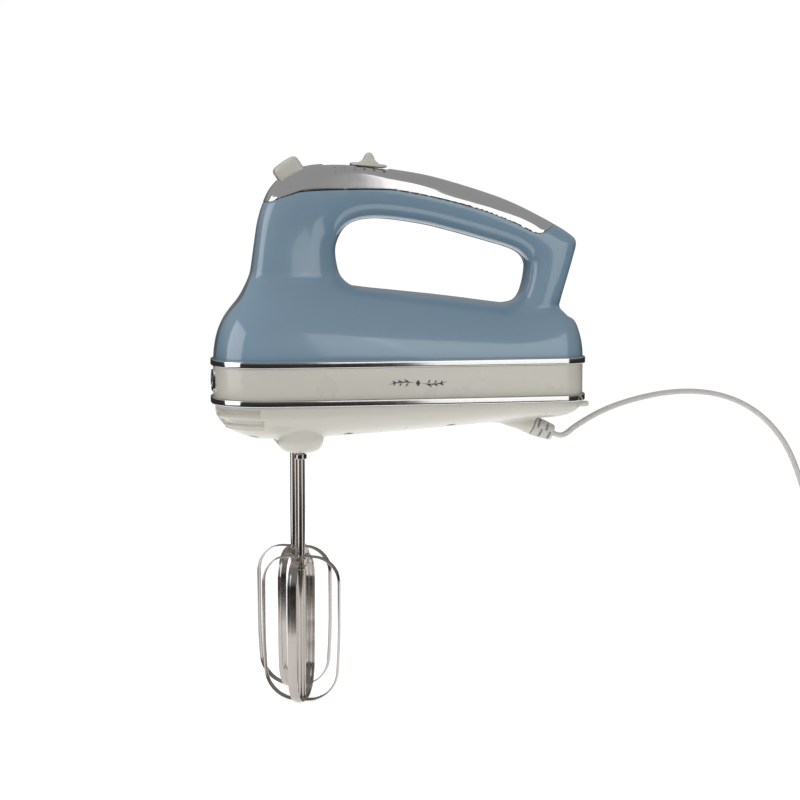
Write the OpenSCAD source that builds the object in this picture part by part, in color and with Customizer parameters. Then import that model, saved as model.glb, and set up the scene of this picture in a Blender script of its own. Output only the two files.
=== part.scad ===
// Hand mixer with two counter-rotating beaters, a thumb speed slider and a push-button ejector.
// Frame: nose toward -X, tail toward +X, +Z up, origin at the middle of the grip.
// "left" is the -Y side and "right" the +Y side.

/* [Housing] */
// Half the width of the housing at its widest, behind the nose
base_half_w = 38.5; // [37.5:0.5:40]
// Half the width of the housing at the tail
tail_half_w = 28; // [26:0.5:30]
// Half the width of the handle
grip_half_w = 16.5; // [15.5:0.5:17.5]
// Thickness of the moulded walls
wall = 2.4; // [2:0.2:2.6]

/* [Trim] */
// Height of each chrome trim ring
trim_h = 3.6; // [3.2:0.1:4]
// How far the trim rings stand out from the housing
trim_proud = 1.5; // [1:0.1:1.8]
// Height of the cream band between the two rings
band_h = 18; // [17:0.5:18.5]

/* [Beaters] */
// Distance between the two beater axes
beater_pitch = 38; // [38:0.1:38.4]
// Radius of a beater cage, to the middle of its strips
cage_r = 22.2; // [20:0.1:22.4]
// Height of a beater cage
cage_h = 83; // [76:1:84]
// Width of a beater strip
strip_w = 5.4; // [4.4:0.2:5.8]
// Thickness of a beater strip
strip_t = 1; // [0.8:0.1:1.2]
// Turn of the left beater at rest
left_phase = -20; // [-24:1:-16]

/* [Controls] */
// Travel of the speed slider
knob_travel = 16; // [12:1:16]

/* [Gears] */
// Teeth on each worm gear, and turns of the worm per turn of a beater
gear_teeth = 20; // [20:1:20]

/* [Hidden] */
$fn = 48;

// Heights of the stacked rings, from the upper rim of the upper trim downward
rim_z = -88.5;
band_top_z = rim_z - trim_h;
band_bottom_z = band_top_z - band_h;
lower_rim_z = band_bottom_z - trim_h;

// Ends of the housing outline at the rim
nose_x = -125.5;
tail_x = 90;
nose_round = 35;
tail_round = 20;
nose_power = 2.5;
tail_power = 2.3;
side_x0 = nose_x + nose_round;
side_x1 = tail_x - tail_round;

// Beater, gear and motor axes
beater_x = -77.5;
beater_y = beater_pitch / 2;
motor_z = -90;
shaft_r = 2;
shaft_rear_r = 2.5;
bearing_t = 4;
front_bearing_r = 5;
rear_bearing_r = 6;
floor_z = -284.5;
cage_top_z = floor_z + cage_h;
stem_r = 2.3;
socket_bore_r = 2.36;
socket_r = 4.5;
socket_top_z = -74;
socket_bottom_z = -139;
stem_top_z = -98;

// Worm thread: an eccentric circle twisted along the shaft
worm_mid_r = 3.6;
worm_ecc = 1;
worm_turns = 6;
worm_sides = 14;
gear_mid_r = beater_y - worm_mid_r - 0.6;
worm_pitch = 2 * PI * gear_mid_r / gear_teeth;

// Direction in which the eject button is pressed
press_tilt = 34;
button_top = [-85.2, 0, 23.6];
button_half = 8;

// Speed slider: direction in which it runs, forward and slightly up, its place at rest and its neck
slide_tilt = 4.4;
knob_x = -36;
slide_z = 19.5;
neck_l = 6;
neck_w = 5;

BLUE = [0.44, 0.53, 0.60];
CREAM = [0.78, 0.76, 0.70];
CHROME = [0.80, 0.81, 0.82];
STEEL = [0.62, 0.61, 0.60];
COPPER = [0.72, 0.42, 0.22];
BLACK = [0.12, 0.12, 0.13];
NATURAL = [0.90, 0.88, 0.80];
BRASS = [0.78, 0.62, 0.30];
CORD_GREY = [0.75, 0.74, 0.71];

// ---------------------------------------------------------------- curves and lofts

// A point on the smooth curve through four points, t from 0 to 1 between the middle two
function curve_at(a, b, c, d, t) =
    0.5 * (2 * b + (c - a) * t + (2 * a - 5 * b + 4 * c - d) * t * t
        + (3 * b - a - 3 * c + d) * t * t * t);

// The closed smooth curve through the points, with n steps from each to the next
function closed_curve(p, n) = [
    for (i = [0 : len(p) - 1], k = [0 : n - 1])
        curve_at(p[(i + len(p) - 1) % len(p)], p[i], p[(i + 1) % len(p)], p[(i + 2) % len(p)], k / n)
];

// The open smooth curve through the points, ending exactly on the last
function open_curve(p, n) = concat(
    [for (i = [0 : len(p) - 2], k = [0 : n - 1])
        curve_at(p[max(i - 1, 0)], p[i], p[i + 1], p[min(i + 2, len(p) - 1)], k / n)],
    [p[len(p) - 1]]
);

// Quarter of a superellipse at angle a: exponent e, 2 for a true ellipse
function super_cos(a, e) = sign(cos(a)) * pow(abs(cos(a)), 2 / e);
function super_sin(a, e) = sign(sin(a)) * pow(abs(sin(a)), 2 / e);

// Half-width of the plan outline between the nose and tail roundings
function side_w(x, o) = let (u = (x - side_x0) / (side_x1 - side_x0))
    base_half_w + o + (tail_half_w - base_half_w) * pow(max(u, 0), 1.5);

// One side of the plan outline from nose to tail, grown outward by o
function plan_side(o) = concat(
    [for (a = [0 : 10 : 90])
        [
            side_x0 - (nose_round + o) * super_cos(a, nose_power),
            (base_half_w + o) * super_sin(a, nose_power)
        ]],
    [for (k = [1 : 5]) let (x = side_x0 + k / 6 * (side_x1 - side_x0))
        [x, side_w(x, o)]],
    [for (a = [90 : -15 : 0])
        [
            side_x1 + (tail_round + o) * super_cos(a, tail_power),
            (tail_half_w + o) * super_sin(a, tail_power)
        ]]
);

// The whole plan outline, grown outward by o
function plan(o) = let (s = plan_side(o)) concat(
    s,
    [for (i = [len(s) - 2 : -1 : 1]) [s[i].x, -s[i].y]]
);

// Solid through rings of equal length, capped by fans from each end ring's middle
module loft(rings) {
    n = len(rings[0]);
    last = len(rings) - 1;
    points = concat(
        [for (r = rings) each r],
        [[for (i = [0 : 2]) [for (p = rings[0]) p[i]] * [for (p = rings[0]) 1 / n]]],
        [[for (i = [0 : 2]) [for (p = rings[last]) p[i]] * [for (p = rings[last]) 1 / n]]]
    );
    faces = concat(
        [for (r = [0 : last - 1], i = [0 : n - 1]) let (j = (i + 1) % n)
            [r * n + i, r * n + j, (r + 1) * n + i]],
        [for (r = [0 : last - 1], i = [0 : n - 1]) let (j = (i + 1) % n)
            [r * n + j, (r + 1) * n + j, (r + 1) * n + i]],
        [for (i = [0 : n - 1]) [(i + 1) % n, i, n * (last + 1)]],
        [for (i = [0 : n - 1]) [last * n + i, last * n + (i + 1) % n, n * (last + 1) + 1]]
    );
    polyhedron(points, faces);
}

// Closed ring-shaped solid through rings of equal length, the last joined to the first
module loop_loft(rings) {
    n = len(rings[0]);
    m = len(rings);
    faces = concat(
        [for (r = [0 : m - 1], i = [0 : n - 1]) let (j = (i + 1) % n, s = (r + 1) % m)
            [r * n + i, r * n + j, s * n + i]],
        [for (r = [0 : m - 1], i = [0 : n - 1]) let (j = (i + 1) % n, s = (r + 1) % m)
            [r * n + j, s * n + j, s * n + i]]
    );
    polyhedron([for (r = rings) each r], faces);
}

function unit(v) = v / norm(v);

// Direction of a path at point i
function path_dir(p, i) = unit(p[min(i + 1, len(p) - 1)] - p[max(i - 1, 0)]);

// Oval section of width w across side and thickness t, at point i of a path
function oval_ring(p, i, w, t, sides) =
    let (
        dir = path_dir(p, i),
        side = unit([0, 1, 0] - dir * dir.y),
        up = cross(dir, side)
    )
    [for (k = [0 : sides - 1]) let (a = -360 * k / sides)
        p[i] + side * (w / 2 * cos(a)) + up * (t / 2 * sin(a))];

// Oval tube along a path
module sweep(p, w, t, sides = 8) {
    loft([for (i = [0 : len(p) - 1]) oval_ring(p, i, w, t, sides)]);
}

// ---------------------------------------------------------------- upper housing

// Height of the housing's back above the rim at x
function back_z(x) = -46 - 0.115 * (x + 50);

// How far the plan outline has drawn in at a fraction v of the way up
shoulder_draw = 22;
function draw_in(v) = shoulder_draw * pow(v, 2.2);

// Solid body between the rim and the back; o shrinks it, drop lowers its open end
module base_block(o, drop) {
    levels = [0, 0.15, 0.3, 0.45, 0.6, 0.72, 0.84, 0.93, 1];
    function ring(v) = [for (p = plan(-draw_in(v) - o))
        [p.x, p.y, rim_z + v * (back_z(p.x) - o - rim_z)]];
    loft(concat(
        drop > 0 ? [[for (p = plan(-o)) [p.x, p.y, rim_z - drop]]] : [],
        [for (v = levels) ring(v)]
    ));
}

// Pairs of points on the outside and on the finger opening, with the half-width there,
// from the foot of the front column over the grip and down the rear leg
grip_outside = [
    [-106, -48], [-103.5, -35], [-101, -18], [-98, -4], [-92.5, 8.5], [-84, 16.5],
    [-70, 21.8], [-50, 22.8], [-24, 20], [2, 15.7], [30.5, 7.4], [56, -2.4],
    [75, -12.4], [84, -18.5], [86, -25], [81.4, -41.4], [77, -58],
    [74, -72], [40, -80], [0, -80], [-50, -80], [-98, -68]
];
grip_inside = [
    [-52, -43.5], [-55.5, -36], [-56, -27], [-53.5, -18], [-49, -12], [-42, -9.4],
    [-34, -8.8], [-25, -9], [-12, -11], [5, -14.5], [24, -20], [41, -24.8],
    [49, -28.6], [52, -33], [52, -38], [50.2, -44.5], [47.8, -50.8],
    [43, -55], [27.5, -54.7], [3.6, -51.2], [-20, -49.2], [-44, -47]
];
grip_widths = [
    2.5, 2, 1.5, 1, 0.5, 0.5, 0.5, 0, 0, 0, -0.5, -1, -1.5, -1.5, -1.5, -1, -0.5, -0.5, 0, 0, 1, 2
];

// The ring-shaped grip, shrunk all round by o
module grip_loop(o) {
    steps = 2;
    outside = closed_curve(grip_outside, steps);
    inside = closed_curve(grip_inside, steps);
    extra = closed_curve([for (w = grip_widths) [w]], steps);
    loop_loft([for (i = [0 : len(outside) - 1])
        let (
            middle = (outside[i] + inside[i]) / 2,
            across = unit(outside[i] - inside[i]),
            half = norm(outside[i] - inside[i]) / 2 - o,
            half_w = grip_half_w + extra[i][0] - o
        )
        [for (k = [0 : 19]) let (a = 18 * k, e = 2.7)
            [
                middle.x + across.x * half * super_cos(a, e),
                half_w * super_sin(a, e),
                middle.y + across.y * half * super_cos(a, e)
            ]]
    ]);
}

module upper_solid(o, drop = 0) {
    base_block(o, drop);
    grip_loop(o);
}

// Side view of the space that the handle cover takes, lowered by gap for a clear joint
cover_edge = [
    [-99, 0.4], [-94, 0.6], [-88, 2.6], [-75, 6.2], [-60, 7.2], [-35, 7.5], [-20, 6.8],
    [3.5, 2.4], [27, -3.8], [45, -10.3], [56, -15.5], [61.5, -18], [66, -16.4], [72, -12]
];
module cover_region(gap) {
    rotate([90, 0, 0])
        linear_extrude(60, center = true)
            polygon(concat(
                [for (p = cover_edge) [p.x, p.y - gap]],
                [[95, 8], [95, 40], [-110, 40], [-110, 0]]
            ));
}

// Slot in the cover's recess for the slider's neck
module slider_slot(h) {
    translate([knob_x - knob_travel / 2, 0, 14])
        rotate([0, slide_tilt, 0])
            cube([knob_travel + neck_l + 3, neck_w + 2, h], center = true);
}

// Screw bosses that run from the parting plane to the side wall
boss_spots = [[-98, -30], [-92, -12], [20, -12], [76, -24], [72, -52], [-104, -70], [-30, -58], [40, -64]];
boss_r = 3.4;
module screw_boss(spot, side) {
    hull() {
        translate([spot.x, side * 0.2, spot.y])
            rotate([side * -90, 0, 0])
                cylinder(h = 1, r = boss_r, $fn = 16);
        translate([spot.x, side * 40, spot.y])
            rotate([side * -90, 0, 0])
                cylinder(h = 1, r = boss_r + 0.6, $fn = 16);
    }
}

module housing_half(side) {
    color(BLUE)
        intersection() {
            difference() {
                union() {
                    difference() {
                        upper_solid(0);
                        upper_solid(wall, 4);
                    }
                    intersection() {
                        for (spot = boss_spots)
                            screw_boss(spot, side);
                        upper_solid(wall / 2);
                    }
                }
                cover_region(0);
                for (spot = boss_spots)
                    translate([spot.x, 0, spot.y])
                        rotate([90, 0, 0])
                            cylinder(h = 24, r = 1.45, center = true, $fn = 16);
            }
            translate([-150, side < 0 ? -60 : 0, -100])
                cube([300, 60, 150]);
        }
}
module housing_left() {
    housing_half(-1);
}
module housing_right() {
    housing_half(1);
}

module handle_cover() {
    color(CHROME)
        difference() {
            intersection() {
                difference() {
                    upper_solid(0);
                    upper_solid(wall - 0.6);
                }
                cover_region(0);
            }
            slider_slot(24);
            button_hole();
        }
}

// Square well in the cover that guides the eject button
module button_hole() {
    press_frame()
        translate([0, 0, -15])
            linear_extrude(40, center = true)
                square(2 * button_half + 1, center = true);
}

// Puts children in the button's own frame: its top face at z = 0, pressed toward -z
module press_frame() {
    translate(button_top)
        rotate([0, -press_tilt, 0])
            children();
}

// ---------------------------------------------------------------- band, trims and lower housing

module plan_ring(z0, h, outer, inner) {
    translate([0, 0, z0])
        linear_extrude(h)
            difference() {
                polygon(plan(outer));
                polygon(plan(inner));
            }
}
module upper_trim() {
    color(CHROME)
        plan_ring(band_top_z, trim_h, trim_proud, -wall);
}
module middle_band() {
    color(CREAM)
        plan_ring(band_bottom_z, band_h, 0, -wall);
}
module lower_trim() {
    color(CHROME)
        plan_ring(lower_rim_z, trim_h, trim_proud, -wall);
}

// Depth of the lower housing below its rim at x
belly_nose = 20;
belly_fall = 11.5;
function belly(x) = belly_nose - belly_fall * pow(max(x + 85, 0) / (tail_x + 85), 1.35);
function belly_draw(v) = 20 * pow(v, 3);

module lower_solid(o, lift = 0) {
    levels = [1, 0.94, 0.85, 0.72, 0.58, 0.42, 0.24, 0];
    function ring(v) = [for (p = plan(-1 - belly_draw(v) - o))
        [p.x, p.y, lower_rim_z - v * (belly(p.x) - o)]];
    loft(concat(
        [for (v = levels) ring(v)],
        lift > 0 ? [[for (p = plan(-1 - o)) [p.x, p.y, lower_rim_z + lift]]] : []
    ));
}

// The domed nose under the housing that holds both spindle bushes
module spindle_dome() {
    hull()
        for (s = [-1, 1])
            translate([beater_x, s * beater_y, 0])
                rotate_extrude($fn = 32)
                    polygon([
                        [0, -141.2], [5.5, -141], [8.5, -139.4], [10.6, -137],
                        [11.8, -134], [12.4, -131], [12.4, -124], [0, -124]
                    ]);
}

// Vent slots round the nose
module vent_slots() {
    for (z = [lower_rim_z - 3.4, lower_rim_z - 9.4])
        difference() {
            translate([-127, -60, z - 1.5])
                cube([26, 120, 3]);
            translate([0, 0, z - 2])
                linear_extrude(4)
                    polygon(plan(-wall - (z < lower_rim_z - 6 ? 12 : 7)));
        }
}

module lower_housing() {
    color(CREAM)
        difference() {
            union() {
                difference() {
                    union() {
                        lower_solid(0);
                        spindle_dome();
                        boot_spout();
                    }
                    lower_solid(wall, 3);
                }
                intersection() {
                    for (spot = base_spots)
                        hull() {
                            translate([spot.x, spot.y, lower_rim_z - 1])
                                cylinder(h = 1, r = boss_r, $fn = 16);
                            translate([spot.x, spot.y, lower_rim_z - 24])
                                cylinder(h = 1, r = boss_r + 1, $fn = 16);
                        }
                    lower_solid(wall / 2);
                }
            }
            vent_slots();
            for (s = [-1, 1])
                translate([beater_x, s * beater_y, -150])
                    cylinder(h = 40, r = 7.1, $fn = 32);
            for (spot = base_spots)
                translate([spot.x, spot.y, -150])
                    cylinder(h = 60, r = 1.5, $fn = 16);
            for (spot = base_spots)
                translate([spot.x, spot.y, -150])
                    cylinder(h = 150 + lower_rim_z - screw_depth, r = 2.9, $fn = 16);
            boot_passage();
            heel_pegs(heel_r + 0.1);
        }
}

screw_depth = 6;
base_spots = [[-104, 17], [-104, -17], [-50, 19], [-50, -19], [10, 16], [10, -16], [74, 11], [74, -11]];

// Frame of the cord's exit: +x along the cord, origin where the boot leaves the housing
boot_tilt = 21;
boot_root = [54, 0, -126.8];
module boot_frame() {
    translate(boot_root)
        rotate([0, boot_tilt, 0])
            children();
}
module boot_spout() {
    boot_frame()
        hull() {
            translate([-14, 0, 3])
                rotate([0, 90, 0])
                    cylinder(h = 1, r = 5, $fn = 24);
            translate([7, 0, 0])
                rotate([0, 90, 0])
                    cylinder(h = 1, r = 6.4, $fn = 24);
        }
}
module boot_passage() {
    boot_frame()
        translate([-20, 0, 0])
            rotate([0, 90, 0])
                cylinder(h = 40, r = 4.6, $fn = 24);
}

module badge() {
    color(CHROME)
        translate([nose_x - 1.4, 0, (band_top_z + band_bottom_z) / 2])
            rotate([90, 0, 90])
                linear_extrude(1.3)
                    offset_square(22, 12, 3);
}

// Rectangle w by h with corners of radius r
module offset_square(w, h, r) {
    union() {
        square([w - 2 * r, h], center = true);
        square([w, h - 2 * r], center = true);
        for (x = [-1, 1], y = [-1, 1])
            translate([x * (w / 2 - r), y * (h / 2 - r)])
                circle(r);
    }
}

// Pegs through the tail wall on which the housing stands upright: r is their radius
heel_len = 9;
heel_r = 1.8;
module heel_pegs(r) {
    for (s = [-1, 1])
        translate([tail_x + 3.5 - heel_len, s * 8, lower_rim_z - 3])
            rotate([0, 90, 0])
                cylinder(h = heel_len, r = r);
}
module heel_feet() {
    color(CREAM)
        heel_pegs(heel_r);
}

// Self-tapping screw: head up, along +z, thread below
module screw(r, length, head_r) {
    cylinder(h = length, r = r);
    difference() {
        translate([0, 0, length])
            cylinder(h = 1.6, r = head_r);
        translate([0, 0, length + 1.1])
            cube([0.8, 2 * head_r, 1.4], center = true);
        translate([0, 0, length + 1.1])
            cube([2 * head_r, 0.8, 1.4], center = true);
    }
}
module housing_screws() {
    color(STEEL)
        for (spot = boss_spots)
            translate([spot.x, 7.2, spot.y])
                rotate([90, 0, 0])
                    translate([0, 0, -2.2])
                        screw(1.25, 14, 1.3);
}
module base_screws() {
    color(STEEL)
        for (spot = base_spots)
            translate([spot.x, spot.y, lower_rim_z - screw_depth])
                rotate([180, 0, 0])
                    translate([0, 0, -12])
                        screw(1.4, 12, 2.6);
}

// ---------------------------------------------------------------- gearbox

frame_x0 = -108;
frame_x1 = -52;
frame_half_y = 29;
frame_floor_z = -101;
frame_roof_z = -78;
plate_t = 3;
bush_r = 6.5;

module gearbox_frame() {
    color(BLACK)
        difference() {
            union() {
                translate([frame_x0, -frame_half_y, frame_floor_z])
                    cube([frame_x1 - frame_x0, 2 * frame_half_y, plate_t]);
                for (x = [frame_x0, frame_x1 - bearing_t])
                    translate([x, -14, frame_floor_z + plate_t])
                        cube([bearing_t, 28, frame_roof_z - frame_floor_z - plate_t]);
            }
            for (x = [frame_x0, frame_x1 - bearing_t])
                translate([x - 1, 0, motor_z])
                    rotate([0, 90, 0])
                        cylinder(h = bearing_t + 2, r = front_bearing_r);
            for (s = [-1, 1])
                translate([beater_x, s * beater_y, frame_floor_z - 1])
                    cylinder(h = plate_t + 2, r = 7);
        }
}

spring_seat_z = -43;
seat_posts_x = [-98, -62];
module gearbox_cover() {
    color(BLACK)
        difference() {
            union() {
                translate([frame_x0, -frame_half_y, frame_roof_z])
                    cube([frame_x1 - frame_x0, 2 * frame_half_y, plate_t]);
                for (x = seat_posts_x)
                    translate([x, -5, frame_roof_z + plate_t - 0.5])
                        cube([plate_t, 10, spring_seat_z - frame_roof_z - plate_t + 0.5]);
                translate([seat_posts_x[0], -9, spring_seat_z - plate_t])
                    cube([seat_posts_x[1] - seat_posts_x[0] + plate_t, 18, plate_t]);
            }
            for (s = [-1, 1])
                translate([beater_x, s * beater_y, frame_roof_z - 1])
                    cylinder(h = plate_t + 2, r = bush_r);
            translate([beater_x - 4.5, -4.5, spring_seat_z - 4])
                cube([9, 9, 5]);
        }
}

module tube(h, outer, inner) {
    difference() {
        cylinder(h = h, r = outer);
        translate([0, 0, -1])
            cylinder(h = h + 2, r = inner);
    }
}

module spindle_bushes() {
    color(BRASS)
        for (s = [-1, 1])
            translate([beater_x, s * beater_y, 0]) {
                translate([0, 0, frame_roof_z])
                    tube(plate_t, bush_r, socket_r + 0.06);
                translate([0, 0, -137])
                    tube(12, 7, socket_r + 0.06);
            }
}

module motor_bearing_front() {
    color(BRASS)
        for (x = [frame_x0, frame_x1 - bearing_t])
            translate([x, 0, motor_z])
                rotate([0, 90, 0])
                    tube(bearing_t, front_bearing_r, shaft_r + 0.05);
}

// ---------------------------------------------------------------- motor

stack_x0 = -42;
stack_len = 32;
rear_plate_x = 40;
coil_r = 17.5;
shaft_step_x = -48;
armature_r = 13.5;
stator_bore_r = armature_r + 0.5;
rotor_bore_r = shaft_rear_r + 0.02;
rotor_slots = 12;

module along_x(x) {
    translate([x, 0, motor_z])
        rotate([0, 90, 0])
            children();
}

module stator_core() {
    color(STEEL)
        along_x(stack_x0)
            difference() {
                linear_extrude(stack_len)
                    offset_square(44, 48, 6);
                translate([0, 0, -1])
                    cylinder(h = stack_len + 2, r = stator_bore_r);
                for (a = [35, 145, 215, 325])
                    rotate([0, 0, a])
                        translate([0, coil_r, -1])
                            cylinder(h = stack_len + 2, r = 2.5);
            }
}

module field_coils() {
    color(COPPER)
        for (s = [0, 180])
            along_x(stack_x0)
                rotate([0, 0, s]) {
                    for (z = [-4.6, stack_len + 0.2])
                        translate([0, 0, z])
                            rotate([0, 0, 55])
                                rotate_extrude(angle = 70)
                                    translate([coil_r - 2.2, 0])
                                        square([4.4, 4.4]);
                    for (a = [-35, 35])
                        rotate([0, 0, a])
                            translate([0, coil_r, -0.3])
                                cylinder(h = stack_len + 0.6, r = 2.2);
                }
}

module motor_shaft() {
    color(STEEL) {
        along_x(frame_x0 - 1)
            cylinder(h = shaft_step_x - frame_x0 + 2, r = shaft_r);
        along_x(shaft_step_x)
            cylinder(h = rear_plate_x + bearing_t + 1 - shaft_step_x, r = shaft_rear_r);
    }
}

module motor_worm() {
    color(STEEL)
        along_x(beater_x - worm_turns / 2 * worm_pitch)
            linear_extrude(
                worm_turns * worm_pitch, twist = 360 * worm_turns, slices = worm_sides * worm_turns,
                $fn = worm_sides
            )
                difference() {
                    translate([worm_ecc, 0])
                        circle(worm_mid_r, $fn = worm_sides);
                    circle(shaft_r + 0.1, $fn = worm_sides);
                }
}

module armature_core() {
    color(STEEL)
        along_x(stack_x0)
            difference() {
                cylinder(h = stack_len, r = armature_r);
                translate([0, 0, -1])
                    cylinder(h = stack_len + 2, r = rotor_bore_r);
                for (k = [0 : rotor_slots - 1])
                    rotate([0, 0, 360 / rotor_slots * k])
                        translate([armature_r, 0, stack_len / 2])
                            cube([2.4, 1.6, stack_len + 2], center = true);
            }
}

module armature_windings() {
    color(COPPER)
        for (z = [-7.2, stack_len + 0.2])
            along_x(stack_x0 + z)
                tube(7, 11.5, rotor_bore_r);
}

commutator_x = 0;
commutator_len = 12;
commutator_r = 8;
module commutator() {
    color(COPPER)
        along_x(commutator_x)
            difference() {
                cylinder(h = commutator_len, r = commutator_r);
                translate([0, 0, -1])
                    cylinder(h = commutator_len + 2, r = rotor_bore_r);
                for (k = [0 : rotor_slots - 1])
                    rotate([0, 0, 360 / rotor_slots * k])
                        translate([commutator_r, 0, commutator_len / 2])
                            cube([2.4, 0.5, commutator_len + 2], center = true);
            }
}

fan_x = 22;
fan_r = 18;
fan_blades = 10;
module cooling_fan() {
    color(NATURAL)
        along_x(fan_x)
            difference() {
                union() {
                    cylinder(h = 2, r = fan_r);
                    cylinder(h = 9, r = 6);
                    for (k = [0 : fan_blades - 1])
                        rotate([0, 0, 360 / fan_blades * k])
                            translate([11.5, 0, 5])
                                cube([12, 1.2, 8], center = true);
                }
                translate([0, 0, -1])
                    cylinder(h = 12, r = rotor_bore_r);
            }
}

module motor_bracket() {
    color(BLACK)
        difference() {
            union() {
                translate([rear_plate_x, -24, motor_z - 14])
                    cube([bearing_t, 48, 28]);
                for (s = [-1, 1])
                    translate([0, s * 22 - 1.5, motor_z - 6])
                        cube([rear_plate_x + 1, 3, 12]);
            }
            along_x(rear_plate_x - 1)
                cylinder(h = bearing_t + 2, r = rear_bearing_r);
        }
}
module motor_bearing_rear() {
    color(BRASS)
        along_x(rear_plate_x)
            tube(bearing_t, rear_bearing_r, shaft_rear_r + 0.05);
}

brush_x = commutator_x + commutator_len / 2;
brush_w = 5.2;
module brush_holders() {
    color(BRASS)
        for (s = [-1, 1])
            translate([brush_x, s * 14.5, motor_z])
                difference() {
                    cube([8, 12, 8], center = true);
                    cube([brush_w + 0.2, 13, brush_w + 0.2], center = true);
                }
}
module carbon_brushes() {
    color(BLACK)
        for (s = [-1, 1])
            translate([brush_x, s * 12.3, motor_z])
                cube([brush_w, 8, brush_w], center = true);
}
module brush_springs() {
    color(STEEL)
        for (s = [-1, 1])
            translate([brush_x, s * 16.4, motor_z])
                rotate([-90 * s, 0, 0])
                    coil_spring(1.6, 0.35, 4, 3);
}

// Helical spring standing on z = 0
module coil_spring(radius, wire_r, height, turns) {
    linear_extrude(height, twist = -360 * turns, slices = 12 * turns, $fn = 8)
        translate([radius, 0])
            circle(wire_r, $fn = 8);
}

// ---------------------------------------------------------------- switch, wiring and cord

// The slider's own frame: x along its run, origin under the knob at rest
module slide_frame() {
    translate([knob_x, 0, slide_z])
        rotate([0, slide_tilt, 0])
            children();
}

module switch_housing() {
    color(BLACK)
        slide_frame()
            difference() {
                translate([-knob_travel - 9, -8, -24])
                    cube([knob_travel + 18, 16, 14]);
                translate([-knob_travel - 7, -6, -22])
                    cube([knob_travel + 14, 12, 13]);
            }
}
module switch_contacts() {
    color(BRASS)
        slide_frame()
            for (k = [0 : 3])
                translate([5 - k * knob_travel / 3, -4, -22])
                    cube([1.6, 8, 1.2]);
}
module switch_slide() {
    color(NATURAL)
        slide_frame()
            translate([-5, -5, -20])
                cube([10, 10, 6]);
}
module speed_knob() {
    color(CREAM)
        slide_frame() {
            translate([0, 0, 2.6])
                linear_extrude(1.6)
                    offset_square(21, 15, 5);
            translate([0, 0, 4])
                rotate([90, 0, 0])
                    linear_extrude(11, center = true)
                        polygon([
                            [-9, 0], [-4.5, 1.6], [-2.6, 4], [-1.6, 5.6], [0, 6.2],
                            [1.6, 5.6], [2.6, 4], [4.5, 1.6], [9, 0]
                        ]);
            translate([-neck_l / 2, -neck_w / 2, -14])
                cube([neck_l, neck_w, 16.9]);
        }
}

terminal_x = 52;
module terminal_block() {
    color(NATURAL)
        difference() {
            translate([terminal_x, -11, -112])
                cube([12, 22, 9]);
            for (s = [-1, 1])
                translate([terminal_x + 6, s * 5.5, -113])
                    cylinder(h = 11, r = 1.6);
        }
}

wire_route = [
    [58, 0, -102], [60, 0, -92], [64, 0, -78], [66, 0, -58], [66, 0, -40], [58, 0, -22], [40, 0, -12],
    [10, 0, -3], [-8, 0, 2], [-16, 0, 3.6]
];
module lead_wires() {
    color(BLACK)
        for (s = [-1, 1])
            translate([0, s * 5.5, 0])
                sweep(open_curve(wire_route, 2), 2, 2);
}

module cord_clamp() {
    color(NATURAL)
        translate([28, -9, -121])
            difference() {
                cube([8, 18, 5]);
                translate([-1, 6, -1])
                    cube([10, 6, 4.5]);
            }
}

// Strain relief: a plug seated in the spout and a ribbed tail
boot_len = 21;
boot_step = 8.2;
boot_slots = 4;
module cord_boot() {
    color(CORD_GREY)
        boot_frame()
            difference() {
                union() {
                    translate([-13, 0, 0])
                        rotate([0, 90, 0])
                            cylinder(h = 22, r = 4.5);
                    translate([boot_step, 0, 0])
                        rotate([0, 90, 0])
                            cylinder(h = boot_len - boot_step, r = 5.6);
                }
                for (k = [0 : boot_slots - 1])
                    for (side = [-1, 1])
                        translate([10.5 + 2.6 * k, side * 5.5, k % 2 == 0 ? 3.5 : -3.5])
                            cube([1, 5, 7], center = true);
            }
}

// Mains lead: flat twin, laid out from the boot, over to the surface and into the coil
lead_w = 5.2;
lead_t = 3.2;
exit_point = boot_root + boot_len * [cos(boot_tilt), 0, -sin(boot_tilt)];
coil_center = [268, 0];
coil_r_mid = 28;
lead_route = [
    [80, 0, -136], [88, 0, -130.6], [99, 0, -124.2], [111, 0, -119], [126, 0, -114.6], [143, 0, -111.6],
    [160, 0, -111], [177, 0, -113.5], [193, -1, -120], [207, -3, -131], [218, -6, -147], [226, -10, -170],
    [232, -14, -196], [236, -18, -222], [240, -22, -246], [245, -25, -265], [253, -27, -277],
    [262, -28, -281.6], [268, -28, -282.1]
];
module cord() {
    color(CORD_GREY)
        sweep(concat([exit_point], open_curve(lead_route, 3)), lead_w, lead_t);
}

coil_h = 4 * lead_t;
tie_t = 0.8;
module cord_coil() {
    color(CORD_GREY)
        translate([coil_center.x, coil_center.y, floor_z + tie_t])
            rotate_extrude()
                translate([coil_r_mid, coil_h / 2])
                    offset_square(2 * lead_w, coil_h, 2);
}
module cord_tie() {
    color(BLACK)
        translate([coil_center.x, coil_center.y + coil_r_mid, floor_z + tie_t + coil_h / 2])
            difference() {
                cube([7, 2 * lead_w + 1 + 2 * tie_t, coil_h + 2 * tie_t], center = true);
                cube([8, 2 * lead_w + 1, coil_h + 0.02], center = true);
            }
}
plug_x = 315;
plug_y = -11;
plug_z = floor_z + 7;
tail_route = [
    [274, -29, -277], [285, -33, -278], [296, -33, -277.6], [306, -28.5, -277.5], [312.5, -21, -277.5],
    [315, -11, -277.5]
];
module cord_tail() {
    color(CORD_GREY)
        loft([for (i = [0 : len(tail_route) - 1]) flat_ring(tail_route, i)]);
}
function flat_ring(p, i) =
    let (
        dir = path_dir(p, i),
        side = unit(cross([0, 0, 1], dir))
    )
    [for (k = [0 : 7])
        p[i] + side * (lead_w / 2 * cos(45 * k)) - [0, 0, lead_t / 2 * sin(45 * k)]];

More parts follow.
